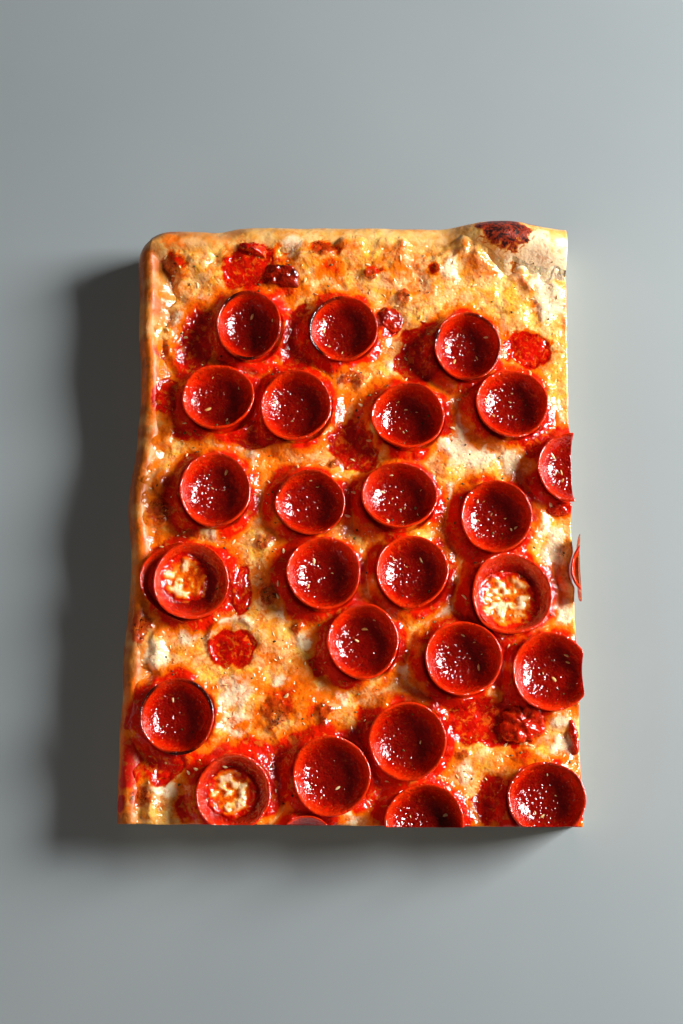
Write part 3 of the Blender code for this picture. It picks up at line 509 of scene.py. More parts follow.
def make_crust(material):
    """The dough: its rim and walls are dense grids, and the field under the cheese is one flat face."""
    from_left = LEFT_REACH * 1.4 * (np.arange(29) / 28) ** 1.4
    from_back = BUBBLE_REACH * (np.arange(38) / 37) ** 1.3
    field_columns, field_rows = 210, 288
    rough_y = np.linspace(-HALF_LENGTH, CORNER_BACK - BUBBLE_REACH, field_rows)
    rough_y = np.concatenate([rough_y, CORNER_BACK - from_back[-2::-1]])
    left, right = left_edge(rough_y)[:, None], right_edge(rough_y)[:, None]
    across = np.linspace(0, 1, field_columns)[None, 1:]
    start = left + from_left[-1]
    x = np.concatenate([left + from_left[None, :], start + (right - start) * across], axis=1)
    share = np.linspace(0, 1, field_rows)[:, None]
    front, back = front_edge(x), back_edge(x)
    y_field = front[:field_rows] + (back[:field_rows] - BUBBLE_REACH - front[:field_rows]) * share
    y_back = back[field_rows:] - from_back[-2::-1][:, None]
    y = np.concatenate([y_field, y_back], axis=0)
    rows, columns = x.shape
    bare = 0.16 * clouds(x, y, 2.4, 21, 3) * smooth(0, 2, x - left_edge(y)) * smooth(0, 2, back_edge(x) - y)
    rim_only = 1 - smooth(FIELD + 0.2, FIELD + 1.5, 2 * FIELD + 1.7 - dough_top(x, y))
    top = np.stack([x, y, dough_top(x, y) + bare * rim_only], axis=-1)
    numbers = np.arange(rows * columns).reshape(rows, columns)
    inner = len(from_left) - 1
    keep = np.zeros((rows - 1, columns - 1), dtype=bool)
    keep[:, :inner] = True
    keep[field_rows - 1 :, :] = True
    faces = quads(rows, columns).reshape(rows - 1, columns - 1, 4)[keep].tolist()
    hidden = list(numbers[0, inner:]) + list(numbers[1:field_rows, -1])
    hidden += list(numbers[field_rows - 1, inner:-1][::-1]) + list(numbers[1 : field_rows - 1, inner][::-1])
    faces.append(hidden)
    ring = np.concatenate([numbers[:-1, 0], numbers[-1, :-1], numbers[:0:-1, -1], numbers[0, :0:-1]])
    edge = top.reshape(-1, 3)[ring]
    count = len(ring)
    side = np.repeat([0, 1, 2, 3], [rows - 1, columns - 1, rows - 1, columns - 1])
    levels = np.linspace(1, 0, 31)[1:]
    walls, cut_mask, pocket_mask = [], [], []
    is_left, is_back, is_right, is_front = (side == k for k in range(4))
    first_right = np.arange(count) == rows + columns - 2
    in_from_left = edge[:, 0] - left_edge(edge[:, 1])
    in_from_back = back_edge(edge[:, 0]) - edge[:, 1]
    for level in levels:
        ring_points = edge.copy()
        ring_points[:, 2] *= level
        inset = BASE_INSET * (1 - smooth(0, 0.4, level)) ** 2
        near_left, near_back = 1 - smooth(0, 5, in_from_left), 1 - smooth(0, 5, in_from_back)
        ring_points[:, 0] += inset * np.where(is_left, 1, near_left * (is_front | is_back))
        ring_points[:, 1] -= inset * np.where(is_back | first_right, 1, near_back * (is_right | is_left))
        cut = is_right | is_front
        calm = smooth(0, 2.2, in_from_left) * smooth(0, 2.2, in_from_back)
        right_calm = calm * smooth(0, 2, edge[:, 1] + HALF_LENGTH)
        front_calm = calm * smooth(0, 2, HALF_WIDTH - edge[:, 0])
        fade = smooth(0, 1.2, ring_points[:, 2]) * smooth(0, 1.4, edge[:, 2] - ring_points[:, 2])
        z_like = ring_points[:, 2] * 17 / edge[:, 2]
        on_right = crumb_pockets(edge[:, 1], z_like, -HALF_LENGTH, HALF_LENGTH, 5) * is_right * right_calm
        on_front = crumb_pockets(edge[:, 0], z_like, -HALF_WIDTH, HALF_WIDTH, 6) * is_front * front_calm
        rough = 0.14 * clouds(edge[:, 0] + edge[:, 1], ring_points[:, 2], 1.6, 22, 2) * fade
        ring_points[:, 0] -= on_right * fade + np.where(is_right, np.abs(rough) * right_calm, 0)
        ring_points[:, 1] += on_front * fade + np.where(is_front, np.abs(rough) * front_calm, 0)
        walls.append(ring_points)
        cut_mask.append(np.where(cut, 1.0, 0.0))
        # Pocket depth, which later paints shade deep in the crumb.
        pocket_mask.append((on_right + on_front) * fade / 2.3)
    walls = np.concatenate(walls)
    points = np.concatenate([top.reshape(-1, 3), walls])
    first_ring = rows * columns
    ring_next = np.roll(ring, -1)
    wall_numbers = np.arange(count) + first_ring
    faces += np.stack([ring, ring_next, np.roll(wall_numbers, -1), wall_numbers], axis=-1).tolist()
    faces += quads(len(levels), count, wrap=True, start=first_ring).tolist()
    faces.append(list(np.arange(count) + first_ring + (len(levels) - 1) * count)[::-1])
    cut = np.concatenate([np.zeros(first_ring), np.concatenate(cut_mask)])
    pocket = np.concatenate([np.zeros(first_ring), np.concatenate(pocket_mask)])
    px, py, pz = points.T
    from_outside = np.minimum(px - left_edge(py), back_edge(px) - py)
    top_height = dough_top(px, py)
    toast = smooth(2.2, 0.3, pz) + cut * smooth(2.0, 0.2, from_outside)
    toast = toast + cut * smooth(1.4, 0.2, top_height - pz) * smooth(18, 20, top_height)
    walls_tan = 0.45 + 0.35 * clouds(px, py, 9, 27, 3, pz)
    toast = toast + (1 - cut) * walls_tan * smooth(FIELD + 2, FIELD - 4, pz)
    on_top = np.where(pz > top_height - 0.6, 1.0, 0.0)
    tinted = tints(px, py)
    masks = {name: values * on_top for name, values in tinted.items()}
    # The golden mask, browning with painted shade along the left rim, only on the baked top and not on the
    # cuts.
    masks["golden_and_shade"] = tinted["golden_and_shade"] * (1 - cut) * smooth(4, 17, pz)
    masks.update({"cut": cut, "pocket": pocket, "toast": np.clip(toast, 0, 1)})
    piece = build("baked_crust", points, faces, material, masks)
    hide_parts("dough")
    return piece


def make_cheese(material):
    """The melted layer: a dense top, sides flush with the cuts, and an edge that feathers onto the rim."""
    columns, rows = 246, 334
    u, v = np.meshgrid(np.linspace(0, 1, columns), np.linspace(0, 1, rows))
    rough_y = -HALF_LENGTH + v * (2 * HALF_LENGTH - 6)
    left = left_edge(rough_y) + left_border(rough_y)
    x = left + (right_edge(rough_y) - left) * u
    y = front_edge(x) + (back_edge(x) - back_border(x) - front_edge(x)) * v
    z = cheese_height(x, y)
    top = np.stack([x, y, z], axis=-1)
    numbers = np.arange(rows * columns).reshape(rows, columns)
    ring = np.concatenate([numbers[:-1, 0], numbers[-1, :-1], numbers[:0:-1, -1], numbers[0, :0:-1]])
    edge = top.reshape(-1, 3)[ring]
    count = len(ring)
    share = (u.reshape(-1)[ring], v.reshape(-1)[ring])
    ground = dough_top(edge[:, 0], edge[:, 1])
    at_left, at_right = share[0] < 1e-6, share[0] > 1 - 1e-6
    at_front, at_back = share[1] < 1e-6, share[1] > 1 - 1e-6
    lowest = np.where(at_left | at_back, ground - 0.5, np.maximum(ground - 0.3, FIELD) + 0.1)
    rings = []
    for drop in (0.25, 0.5, 0.75, 1.0):
        low = edge.copy()
        low[:, 2] += drop * (lowest - edge[:, 2])
        bulge = 0.25 * math.sin(math.pi * drop) * clouds(edge[:, 0] + edge[:, 1], drop * 3.0, 3, 24, 2)
        low[:, 0] -= np.abs(bulge) * at_right
        low[:, 1] += np.abs(bulge) * at_front
        rings.append(low)
    inner = rings[-1].copy()
    inner[:, 0] += 10 * at_left - 2.0 * at_right
    inner[:, 1] += 2 * at_front - 13.0 * at_back
    inner[:, 0] = np.maximum(inner[:, 0], -64)
    inner[:, 1] = np.minimum(inner[:, 1], 84)
    inner[:, 2] = FIELD + 0.1
    rings.append(inner)
    points = np.concatenate([top.reshape(-1, 3)] + rings)
    faces = quads(rows, columns).tolist()
    first = rows * columns
    wall = np.arange(count) + first
    faces += np.stack([ring, np.roll(ring, -1), np.roll(wall, -1), wall], axis=-1).tolist()
    faces += quads(len(rings), count, wrap=True, start=first).tolist()
    faces.append(list(np.arange(count) + first + (len(rings) - 1) * count)[::-1])
    px, py = points[:, 0], points[:, 1]
    inward = np.minimum(px - left_edge(py) - left_border(py), back_edge(px) - py - back_border(px))
    masks = tints(px, py)
    masks["thin"] = 1 - smooth(0.5, 7, inward)
    piece = build("melted_cheese", points, faces, material, masks)
    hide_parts("cheese")
    return piece


def dome(x, y, reach, thickness, ground, rings=14, sides=56, rough=0.2, seed=0):
    """The points and faces of a drop that follows what it lies on. reach gives its outline by angle."""
    angles = np.linspace(0, math.tau, sides, endpoint=False)
    outline = reach(angles)
    upper, lower = [], []
    for out in np.sin(np.linspace(0, math.pi / 2, rings + 1))[1:]:
        px = x + outline * out * np.cos(angles)
        py = y + outline * out * np.sin(angles)
        base = ground(px, py)
        rise = thickness * np.sqrt(np.clip(1 - out**3, 0, 1)) * (1 + rough * clouds(px, py, 2.4, seed, 3))
        upper.append(np.stack([px, py, base + rise], axis=-1))
        lower.append(np.stack([px, py, base - 0.5 - thickness * 0.3], axis=-1))
    top, bottom = ([[x, y, layers[0][:, 2].mean()]] for layers in (upper, lower))
    layers = upper + lower[::-1]
    points = np.concatenate([top] + layers + [bottom])
    last = 1 + (len(layers) - 1) * sides
    faces = [[0, 1 + k, 1 + (k + 1) % sides] for k in range(sides)]
    faces += quads(len(layers), sides, wrap=True, start=1).tolist()
    faces += [[last + sides, last + (k + 1) % sides, last + k] for k in range(sides)]
    return points, faces


def oval(patch, seed, ragged=0.2):
    def reach(angles):
        turned = angles - math.radians(patch.turn)
        plain = 1 / np.hypot(np.cos(turned) / patch.long, np.sin(turned) / patch.wide)
        along, across = np.cos(angles) * 6, np.sin(angles) * 6
        lobes = clouds(along, across, 5, seed, 3) + 0.6 * clouds(along, across, 1.9, seed + 9, 2)
        return plain * (1 + ragged * lobes)

    return reach


def join(parts):
    """Several lots of points and faces as one."""
    points, faces, start = [], [], 0
    for part_points, part_faces in parts:
        points.append(part_points)
        faces += [[start + int(k) for k in face] for face in part_faces]
        start += len(part_points)
    return np.concatenate(points), faces


def calm_height():
    """The height of the cheese without its small lumps, for what floats on it."""
    xs, ys = np.arange(-77.0, 78.0, 1.0), np.arange(-106.0, 107.0, 1.0)
    grid = cheese_height(*np.meshgrid(xs, ys))
    for _ in range(3):
        padded = np.pad(grid, 1, mode="edge")
        around = padded[:-2, 1:-1] + padded[2:, 1:-1] + padded[1:-1, :-2] + padded[1:-1, 2:]
        grid = (around + 2 * grid) / 6

    def height(x, y):
        column, row = np.clip(x - xs[0], 0, len(xs) - 1.001), np.clip(y - ys[0], 0, len(ys) - 1.001)
        i, j = column.astype(int), row.astype(int)
        right, up = column - i, row - j
        near = grid[j, i] * (1 - right) + grid[j, i + 1] * right
        far = grid[j + 1, i] * (1 - right) + grid[j + 1, i + 1] * right
        return near * (1 - up) + far * up

    return height


def make_sauce(material):
    """Wet patches that dip into the cheese at their edges."""
    drops = []
    calm = calm_height()
    for number, patch in enumerate(SAUCE.values()):
        wider = patch._replace(long=patch.long * 1.12, wide=patch.wide * 1.12)

        def ground(px, py, patch=wider, number=number):
            out = np.clip(patch_distance(patch, px, py, 60 + number), 0, 1.4)
            lumps = 0.25 * clouds(px, py, 4, 70 + number, 2)
            return calm(px, py) + 0.15 - 0.7 * smooth(0.35, 1.1, out) + lumps * (1 - smooth(0.6, 1, out))

        drops.append(dome(patch.x, patch.y, oval(wider, 80 + number), 0.25, ground, 16, 72, 0.12, number))
    points, faces = join(drops)
    lumpy = clouds(points[:, 0], points[:, 1], 3.0, 90, 3)
    piece = build("bare_sauce", points, faces, material, {"lumpy": lumpy})
    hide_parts(*SAUCE)
    return piece


def rounded(points, times):
    """A line with its corners cut off again and again."""
    line = np.asarray(points, dtype=float)
    for _ in range(times):
        near = line[:-1] * 0.75 + line[1:] * 0.25
        far = line[:-1] * 0.25 + line[1:] * 0.75
        between = np.stack([near, far], axis=1).reshape(-1, 2)
        line = np.concatenate([line[:1], between[1:-1], line[-1:]])
    return line


# The inside of a cup from its middle out: share of the reach, and height as a share of the cup's
BOWL = np.array([
    (0, 0.14), (0.32, 0.15), (0.52, 0.2), (0.68, 0.33), (0.79, 0.52), (0.86, 0.73), (0.905, 0.92),
])


def cup_size(name):
    """A cup's mean reach and its height."""
    cup, number = CUPS[name], list(CUPS).index(name) + 1
    return (cup.half_x + cup.half_y) / 2, CUP_HEIGHT * (1 + 0.1 * math.sin(number * 2.4))


def cup_form(name, number, sides=92):
    """The points of one cup, from its foot up the outside, over the rim and down to the floor inside."""
    cup = CUPS[name]
    reach, high = cup_size(name)
    outline = [
        (0, 0), (0.5 * reach, 0), (0.72 * reach, 0.06 * high), (0.9 * reach, 0.36 * high),
        (0.975 * reach, 0.72 * high), (reach, 0.95 * high),
        (0.985 * reach, high + 0.04), (0.94 * reach, high + 0.04),
    ]
    outline += [(share * reach, level * high) for share, level in BOWL[::-1]]
    line = rounded(outline, 2)
    angles = np.linspace(0, math.tau, sides, endpoint=False)
    radius = line[1:-1, 0][:, None] * np.ones(sides)
    level = line[1:-1, 1][:, None] * np.ones(sides)
    share = np.clip(level / high, 0, 1)
    inside = (np.arange(len(line) - 2) > (len(line) - 2) * 0.5)[:, None] * np.ones(sides)
    wave = 0.09 * np.sin(2 * angles + number) + 0.05 * np.sin(3 * angles + 2 * number)
    crinkle = 0.035 * clouds(np.cos(angles) * 9, np.sin(angles) * 9, 3.2, number + 200, 3)
    level = level * (1 + (wave + crinkle) * share)
    x = radius * np.cos(angles) * cup.half_x / reach
    y = radius * np.sin(angles) * cup.half_y / reach
    apart = x + 50 * number
    dents = clouds(apart, y, 4.5, 300, 3) * 0.2 + 0.16 * np.abs(clouds(apart, y, 1.5, 310, 2))
    level = level + dents * smooth(1, 0.6, share) * inside
    uneven = 0.018 * clouds(np.cos(angles) * 9, np.sin(angles) * 9, 6, number + 250, 2)
    bend = 1 + share * (uneven + 0.012 * np.sin(3 * angles + 1.7 * number))
    x, y = x * bend, y * bend
    lean = Matrix.Rotation(
        math.radians(cup.lean),
        3,
        Vector((-math.sin(math.radians(cup.towards)), math.cos(math.radians(cup.towards)), 0)),
    )
    points = np.stack([x, y, level], axis=-1).reshape(-1, 3) @ np.array(lean).T
    ends = np.array([(0, 0, line[0, 1]), (0, 0, line[-1, 1])]) @ np.array(lean).T
    points = np.concatenate([points, ends])
    rows = len(line) - 2
    faces = quads(rows, sides, wrap=True).tolist()
    foot, floor = rows * sides, rows * sides + 1
    faces += [[foot, (k + 1) % sides, k] for k in range(sides)]
    last = (rows - 1) * sides
    faces += [[floor, last + k, last + (k + 1) % sides] for k in range(sides)]
    points[:, 0] += cup.x
    points[:, 1] += cup.y
    points[:, 2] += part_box(name)[0][2] / MM - points[:, 2].min() + 0.02
    high_share = np.concatenate([share.ravel(), [0, 0]])
    within = np.concatenate([inside.ravel(), [0, 1]])
    return points, faces, high_share, within


def slice_off(piece, name):
    """Takes away what the knife cut from a cup, and closes it."""
    bm = bmesh.new()
    bm.from_mesh(piece.data)
    planes = []
    if name in CUT_RIGHT:
        planes.append((Vector((CUT_RIGHT[name] * MM, 0, 0)), Vector((1, 0, 0))))
    if name in CUT_FRONT:
        planes.append((Vector((0, CUT_FRONT[name] * MM, 0)), Vector((0, -1, 0))))
    for place, outward in planes:
        everything = bm.verts[:] + bm.edges[:] + bm.faces[:]
        bmesh.ops.bisect_plane(bm, geom=everything, plane_co=place, plane_no=outward, clear_outer=True)
        bmesh.ops.holes_fill(bm, edges=[edge for edge in bm.edges if edge.is_boundary])
    bmesh.ops.triangulate(bm, faces=[face for face in bm.faces if len(face.verts) > 4])
    bm.to_mesh(piece.data)
    bm.free()


def make_cups(material):
    floors = {}
    for number, (name, cup) in enumerate(CUPS.items(), 1):
        points, faces, high_share, within = cup_form(name, number)
        edge = smooth(0.8, 1.0, high_share)
        patchy = 0.55 + 0.6 * cloud(points[:, 0], points[:, 1], 6, 400 + number)
        masks = {
            "rim": edge,
            "within": within,
            "depth": 1 - high_share,
            "char": np.clip(smooth(0.82, 0.98, high_share) * cup.char * patchy * 1.5, 0, 1),
        }
        piece = build("cup_" + name, points, faces, material, masks)
        if name in CUT_RIGHT or name in CUT_FRONT:
            slice_off(piece, name)
        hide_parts(name)
        floors[name] = (points, within * (1 - high_share))
    return floors


def make_tucked_slice(material):
    """The folded slice of which a crescent shows at the left of cup 13."""
    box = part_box("pepperoni_28")
    over = CUPS["pepperoni_13"]
    sides, rings = 40, 9
    angles = np.radians(np.linspace(102, 262, sides))
    across = np.linspace(0, 1, rings)
    inner_x = over.x + (over.half_x + 0.9) * np.cos(angles)
    inner_y = over.y + (over.half_y + 0.9) * np.sin(angles)
    outer_x = over.x - 5.5 + 11.5 * np.cos(angles)
    outer_y = over.y + 1.5 + 12 * np.sin(angles)
    width = np.sin(np.linspace(0.08, math.pi - 0.08, sides))
    outer_x, outer_y = inner_x + (outer_x - inner_x) * width, inner_y + (outer_y - inner_y) * width
    loops = []
    low, high = box[0][2] / MM, box[1][2] / MM
    for k, out in enumerate(np.concatenate([across, across[::-1]])):
        px, py = inner_x + (outer_x - inner_x) * out, inner_y + (outer_y - inner_y) * out
        upper = k < rings
        pz = low + (high - low) * (0.3 + 0.62 * out**1.4 if upper else 0.55 * out**1.6)
        loops.append(np.stack([px, py, pz + 0.12 * clouds(px, py, 2, 500, 2) * upper], axis=-1))
    points = np.stack(loops).reshape(-1, 3)
    faces = quads(2 * rings, sides).tolist()
    count = 2 * rings
    near, far, last = np.arange(sides - 1), np.arange(1, sides), (count - 1) * sides
    faces += np.stack([last + near, last + far, far, near], axis=-1).tolist()
    faces.append([k * sides for k in range(count)])
    faces.append([k * sides + sides - 1 for k in range(count)][::-1])
    ones = np.ones(len(points))
    masks = {"rim": ones * 0.3, "within": ones, "depth": ones * 0.3, "char": ones * 0.15}
    piece = build("tucked_pepperoni", points, faces, material, masks)
    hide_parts("pepperoni_28")


SCRAPS = {
    "pepperoni_29": Patch(57, -71.5, 7.4, 6.6, 20),
    "pepperoni_30": Patch(74.2, -75.2, 6.6, 1.5, 98),
    "pepperoni_31": Patch(70.8, 0.4, 4.0, 1.7, -6),
    "pepperoni_32": Patch(-24.8, 84.6, 6.0, 3.6, -28),
    "pepperoni_33": Patch(14.4, 69.5, 5.0, 4.0, -50),
    "tomato_chunk": Patch(-34.2, 93.6, 5.2, 2.4, -14),
}


def make_scraps(pepperoni, sauce):
    for number, (name, patch) in enumerate(SCRAPS.items()):
        low, high = (corner[2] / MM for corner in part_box(name))
        thickness = (high - low) * 0.55

        def ground(px, py, low=low, high=high):
            inner_x = np.minimum(px, right_edge(py) - 0.3)
            return np.clip(cheese_height(inner_x, py), low - 0.2, high)

        outline = oval(patch, 510 + number)
        points, faces = dome(patch.x, patch.y, outline, thickness, ground, 12, 56, 0.3, 520 + number)
        ones = np.ones(len(points))
        charred = 0.8 if name in ("pepperoni_32", "pepperoni_33") else 0.15
        masks = {
            "rim": ones * 0.2, "within": ones, "depth": ones * 0.4,
            "char": np.clip(charred * (0.7 + 0.6 * cloud(points[:, 0], points[:, 1], 2.5, 530)), 0, 1),
            "lumpy": clouds(points[:, 0], points[:, 1], 2.0, 531, 3),
        }
        chunk = name == "tomato_chunk"
        piece = build("scrap_" + name, points, faces, sauce if chunk else pepperoni, masks)
        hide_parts(name)


def bowl_height(name, x, y):
    """The height of the inside of a cup, which leans and has dents."""
    cup = CUPS[name]
    reach, high = cup_size(name)
    towards = math.radians(cup.towards)
    forward = (x - cup.x) * math.cos(towards) + (y - cup.y) * math.sin(towards)
    lean = math.sin(math.radians(cup.lean)) * (0.6 * reach - forward)
    away = np.hypot((x - cup.x) / cup.half_x, (y - cup.y) / cup.half_y)
    return FOOT[name] + lean + 0.3 + high * np.interp(away, BOWL[:, 0], BOWL[:, 1])


def make_fills(material):
    for number, (name, fill) in enumerate(CHEESE_FILLS.items()):
        node = name.replace("pepperoni", "cheese_fill")
        low, high = (np.array(corner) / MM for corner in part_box(node))
        middle = (low + high) / 2 + np.array([fill.right, fill.back, 0])
        half = (high - low) / 2 * fill.spread

        def reach(angles, half=half, number=number):
            plain = 1 / np.hypot(np.cos(angles) / half[0], np.sin(angles) / half[1])
            return plain * (1 + 0.16 * clouds(np.cos(angles) * 6, np.sin(angles) * 6, 4, 600 + number, 3))

        def ground(px, py, name=name, half=half, middle=middle):
            out = np.hypot((px - middle[0]) / half[0], (py - middle[1]) / half[1])
            lumps = 0.9 * smooth(-0.3, 0.7, clouds(px, py, 2.3, 610, 2))
            dip = 1.1 * smooth(0.75, 1.1, out)
            return bowl_height(name, px, py) + 0.1 - dip + lumps * (1 - smooth(0.8, 1, out))

        points, faces = dome(middle[0], middle[1], reach, 0.5, ground, 26, 84, 0.15, 620 + number)
        px, py = points[:, 0], points[:, 1]
        out = np.hypot((px - middle[0]) / half[0], (py - middle[1]) / half[1])
        curds = clouds(px, py, 2.3, 610, 2)
        stained = 0.6 - 0.5 * smooth(-0.4, 0.3, curds) + smooth(0.6, 1.0, out)
        masks = {
            "cream": 0.8 * smooth(0.1, 0.6, curds) * (1 - smooth(0.5, 0.9, out)),
            "browned": 0.35 * smooth(0.35, 0.8, clouds(px, py, 2, 631)),
            "stained": np.clip(stained, 0, 1),
            "saucy": np.clip(0.6 * smooth(-0.1, -0.7, curds) + smooth(0.72, 1.0, out), 0, 1),
            "thin": np.zeros(len(px)),
            "char": np.zeros(len(px)),
        }
        piece = build("melted_" + node, points, faces, material, masks)
        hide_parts(node)


def spindle(length, width, height, bend):
    """A pointed sliver of dried herb along X."""
    rings = np.array([(-0.5, 0.02), (-0.3, 0.8), (0.0, 1.0), (0.3, 0.75), (0.5, 0.02)])
    angles = np.linspace(0, math.tau, 6, endpoint=False)
    loops = []
    for along, size in rings:
        curve = bend * (along**2 - 0.12) * length
        loops.append(np.stack([np.full(6, along * length), size * width / 2 * np.cos(angles) + curve,
                               size * height / 2 * np.sin(angles)], axis=-1))
    points = np.concatenate(loops)
    faces = quads(5, 6, wrap=True).tolist() + [list(range(6))[::-1], list(range(24, 30))]
    return points, faces


STREWN = 800
SEED_SHARE = 0.65


def make_herbs(material, floors):
    """Pale seeds and green flakes, strewn on the cheese and in the cups."""
    draw = np.random.default_rng(12)
    lots, shades = [], []

    def drop(x, y, z, tilt):
        is_seed = draw.random() < SEED_SHARE
        length = 0.9 + 1.9 * draw.random() ** 2 if is_seed else draw.uniform(0.5, 1.2)
        width = length * (draw.uniform(0.28, 0.45) if is_seed else draw.uniform(0.5, 0.8))
        points, faces = spindle(length, width, min(width, 0.5) * 0.8, draw.uniform(-0.5, 0.5))
        turn = Matrix.Rotation(draw.uniform(0, math.tau), 3, "Z")
        turn = turn @ Matrix.Rotation(draw.normal(0, tilt), 3, "Y")
        points = points @ np.array(turn).T + np.array([x, y, z + 0.1])
        lots.append((points, faces))
        shade = 0.15 + 0.25 * draw.random() if is_seed else 0.6 + 0.4 * draw.random()
        shades.append(np.full(len(points), shade))

    x, y = draw.uniform(-66, 73, STREWN), draw.uniform(-101, 92, STREWN)
    open_cheese = cup_distance(x, y)[0] > 1.12
    z = np.maximum(cheese_height(x, y), dough_top(x, y))
    for place in zip(x[open_cheese], y[open_cheese], z[open_cheese]):
        drop(*place, 0.25)
    for name, (points, deep) in floors.items():
        if name in ("pepperoni_17", "pepperoni_27"):
            continue
        cup = CUPS[name]
        low = np.where((deep > 0.5) & (np.hypot(points[:, 0] - cup.x, points[:, 1] - cup.y) < 9))[0]
        for pick in draw.choice(low, size=int(draw.integers(3, 14)), replace=False):
            x, y, z = points[pick]
            if y > -103 and x < 75:
                drop(x, y, z, 0.3)
    points, faces = join(lots)
    piece = build("dried_herbs", points, faces, material, {"tint": np.concatenate(shades)})


# Materials. Colours are given as they look on screen.

def colour(red, green, blue):
    shares = (c / 255 for c in (red, green, blue))
    return tuple(((c + 0.055) / 1.055) ** 2.4 if c > 0.04 else c / 12.92 for c in shares) + (1,)


def add(tree, kind, inputs=None, **settings):
    made = tree.nodes.new("ShaderNode" + kind)
    for name, value in settings.items():
        setattr(made, name, value)
    for name, value in (inputs or {}).items():
        if isinstance(value, bpy.types.NodeSocket):
            tree.links.new(value, made.inputs[name])
        else:
            made.inputs[name].default_value = value
    return made


def maths(tree, operation, first, second):
    return add(tree, "Math", {0: first, 1: second}, operation=operation).outputs[0]


def times(tree, first, second):
    return maths(tree, "MULTIPLY", first, second)


def plus(tree, first, second):
    return maths(tree, "ADD", first, second)


def minus(tree, first, second):
    return maths(tree, "SUBTRACT", first, second)


def blend(tree, share, under, over):
    return add(tree, "Mix", {0: share, 6: under, 7: over}, data_type="RGBA").outputs[2]


def step(tree, value, low, high):
    inputs = {"Value": value, "From Min": low, "From Max": high}
    return add(tree, "MapRange", inputs, interpolation_type="SMOOTHSTEP").outputs["Result"]


def mask(tree, name):
    """A shading mask that a mesh carries."""
    return add(tree, "Attribute", attribute_name=name).outputs["Fac"]


def new_group(name, inputs, output, kind="NodeSocketFloat"):
    """A shader group with named number inputs and one output, and its start and end."""
    tree = bpy.data.node_groups.new(name, "ShaderNodeTree")
    for label, value in inputs.items():
        socket = tree.interface.new_socket(name=label, in_out="INPUT", socket_type="NodeSocketFloat")
        socket.default_value = value
    tree.interface.new_socket(name=output, in_out="OUTPUT", socket_type=kind)
    return tree, tree.nodes.new("NodeGroupInput").outputs, tree.nodes.new("NodeGroupOutput").inputs[output]


def mottle_group():
    """Soft-edged spots of a size in metres. Amount is the share of the surface that they cover."""
    inputs = {"Size": 0.003, "Amount": 0.5, "Softness": 0.12, "Place": 0.0}
    tree, given, out = new_group("mottle", inputs, "Mask")
    place = add(tree, "TexCoord").outputs["Object"]
    moved = add(tree, "VectorMath", {0: place, 1: given["Place"]}, operation="ADD").outputs[0]
    scale = maths(tree, "DIVIDE", 1.0, given["Size"])
    noise_inputs = {"Vector": moved, "Scale": scale, "Detail": 4.0, "Roughness": 0.6, "Distortion": 0.7}
    speck = add(tree, "TexNoise", noise_inputs).outputs["Fac"]
    middle = minus(tree, 0.78, times(tree, given["Amount"], 0.56))
    low, high = minus(tree, middle, given["Softness"]), plus(tree, middle, given["Softness"])
    tree.links.new(step(tree, speck, low, high), out)
    return tree


def grain_group():
    """A fine uneven height with pits, for food that is oily and not quite smooth."""
    tree, given, out = new_group("grain", {"Size": 0.0008, "Pits": 0.4}, "Height")
    place = add(tree, "TexCoord").outputs["Object"]
    scale = maths(tree, "DIVIDE", 1.0, given["Size"])
    noise_inputs = {"Vector": place, "Scale": scale, "Detail": 2.0, "Roughness": 0.5}
    fine = add(tree, "TexNoise", noise_inputs).outputs["Fac"]
    pit = add(tree, "TexVoronoi", {"Vector": place, "Scale": scale}).outputs["Distance"]
    holes = times(tree, step(tree, pit, 0.45, 0.05), given["Pits"])
    tree.links.new(minus(tree, fine, holes), out)
    return tree


def use(tree, group, **inputs):
    made = tree.nodes.new("ShaderNodeGroup")
    made.node_tree = group
    for name, value in inputs.items():
        if isinstance(value, bpy.types.NodeSocket):
            tree.links.new(value, made.inputs[name])
        else:
            made.inputs[name].default_value = value
    return made.outputs[0]


def new_material(name, **shader_values):
    material = bpy.data.materials.new(name)
    material.use_nodes = True
    tree = material.node_tree
    shader = tree.nodes["Principled BSDF"]
    for label, value in shader_values.items():
        shader.inputs[label.replace("_", " ")].default_value = value
    return material, tree, shader


def finish_material(tree, shader, base, roughness, height, strength, distance):
    bump_inputs = {"Height": height, "Strength": strength, "Distance": distance}
    bump = add(tree, "Bump", bump_inputs).outputs["Normal"]
    for label, value in (("Base Color", base), ("Roughness", roughness), ("Normal", bump)):
        tree.links.new(value, shader.inputs[label])


def crust_tone_group(mottle):
    """The colour of bare baked dough, shared with the thin edge of the cheese."""
    tree, _, out = new_group("crust_tone", {}, "Color", "NodeSocketColor")
    wide = use(tree, mottle, Size=0.013, Amount=0.45, Softness=0.22)
    middling = use(tree, mottle, Size=0.0048, Amount=0.42, Softness=0.2, Place=0.2)
    fine = use(tree, mottle, Size=0.0014, Amount=0.35, Softness=0.2, Place=0.9)
    base = blend(tree, wide, colour(248, 196, 100), colour(228, 142, 34))
    base = blend(tree, times(tree, middling, 0.45), base, colour(254, 232, 182))
    tree.links.new(blend(tree, times(tree, fine, 0.2), base, colour(206, 120, 36)), out)
    return tree


def sauce_tone_group(mottle):
    """The colour of tomato sauce, shared with the cheese that it soaks."""
    tree, _, out = new_group("sauce_tone", {}, "Color", "NodeSocketColor")
    wide = use(tree, mottle, Size=0.004, Amount=0.5, Softness=0.15)
    seeds = use(tree, mottle, Size=0.0009, Amount=0.3, Softness=0.08, Place=0.5)
    base = blend(tree, wide, colour(206, 14, 1), colour(160, 5, 1))
    tree.links.new(blend(tree, times(tree, seeds, 0.25), base, colour(232, 84, 8)), out)
    return tree


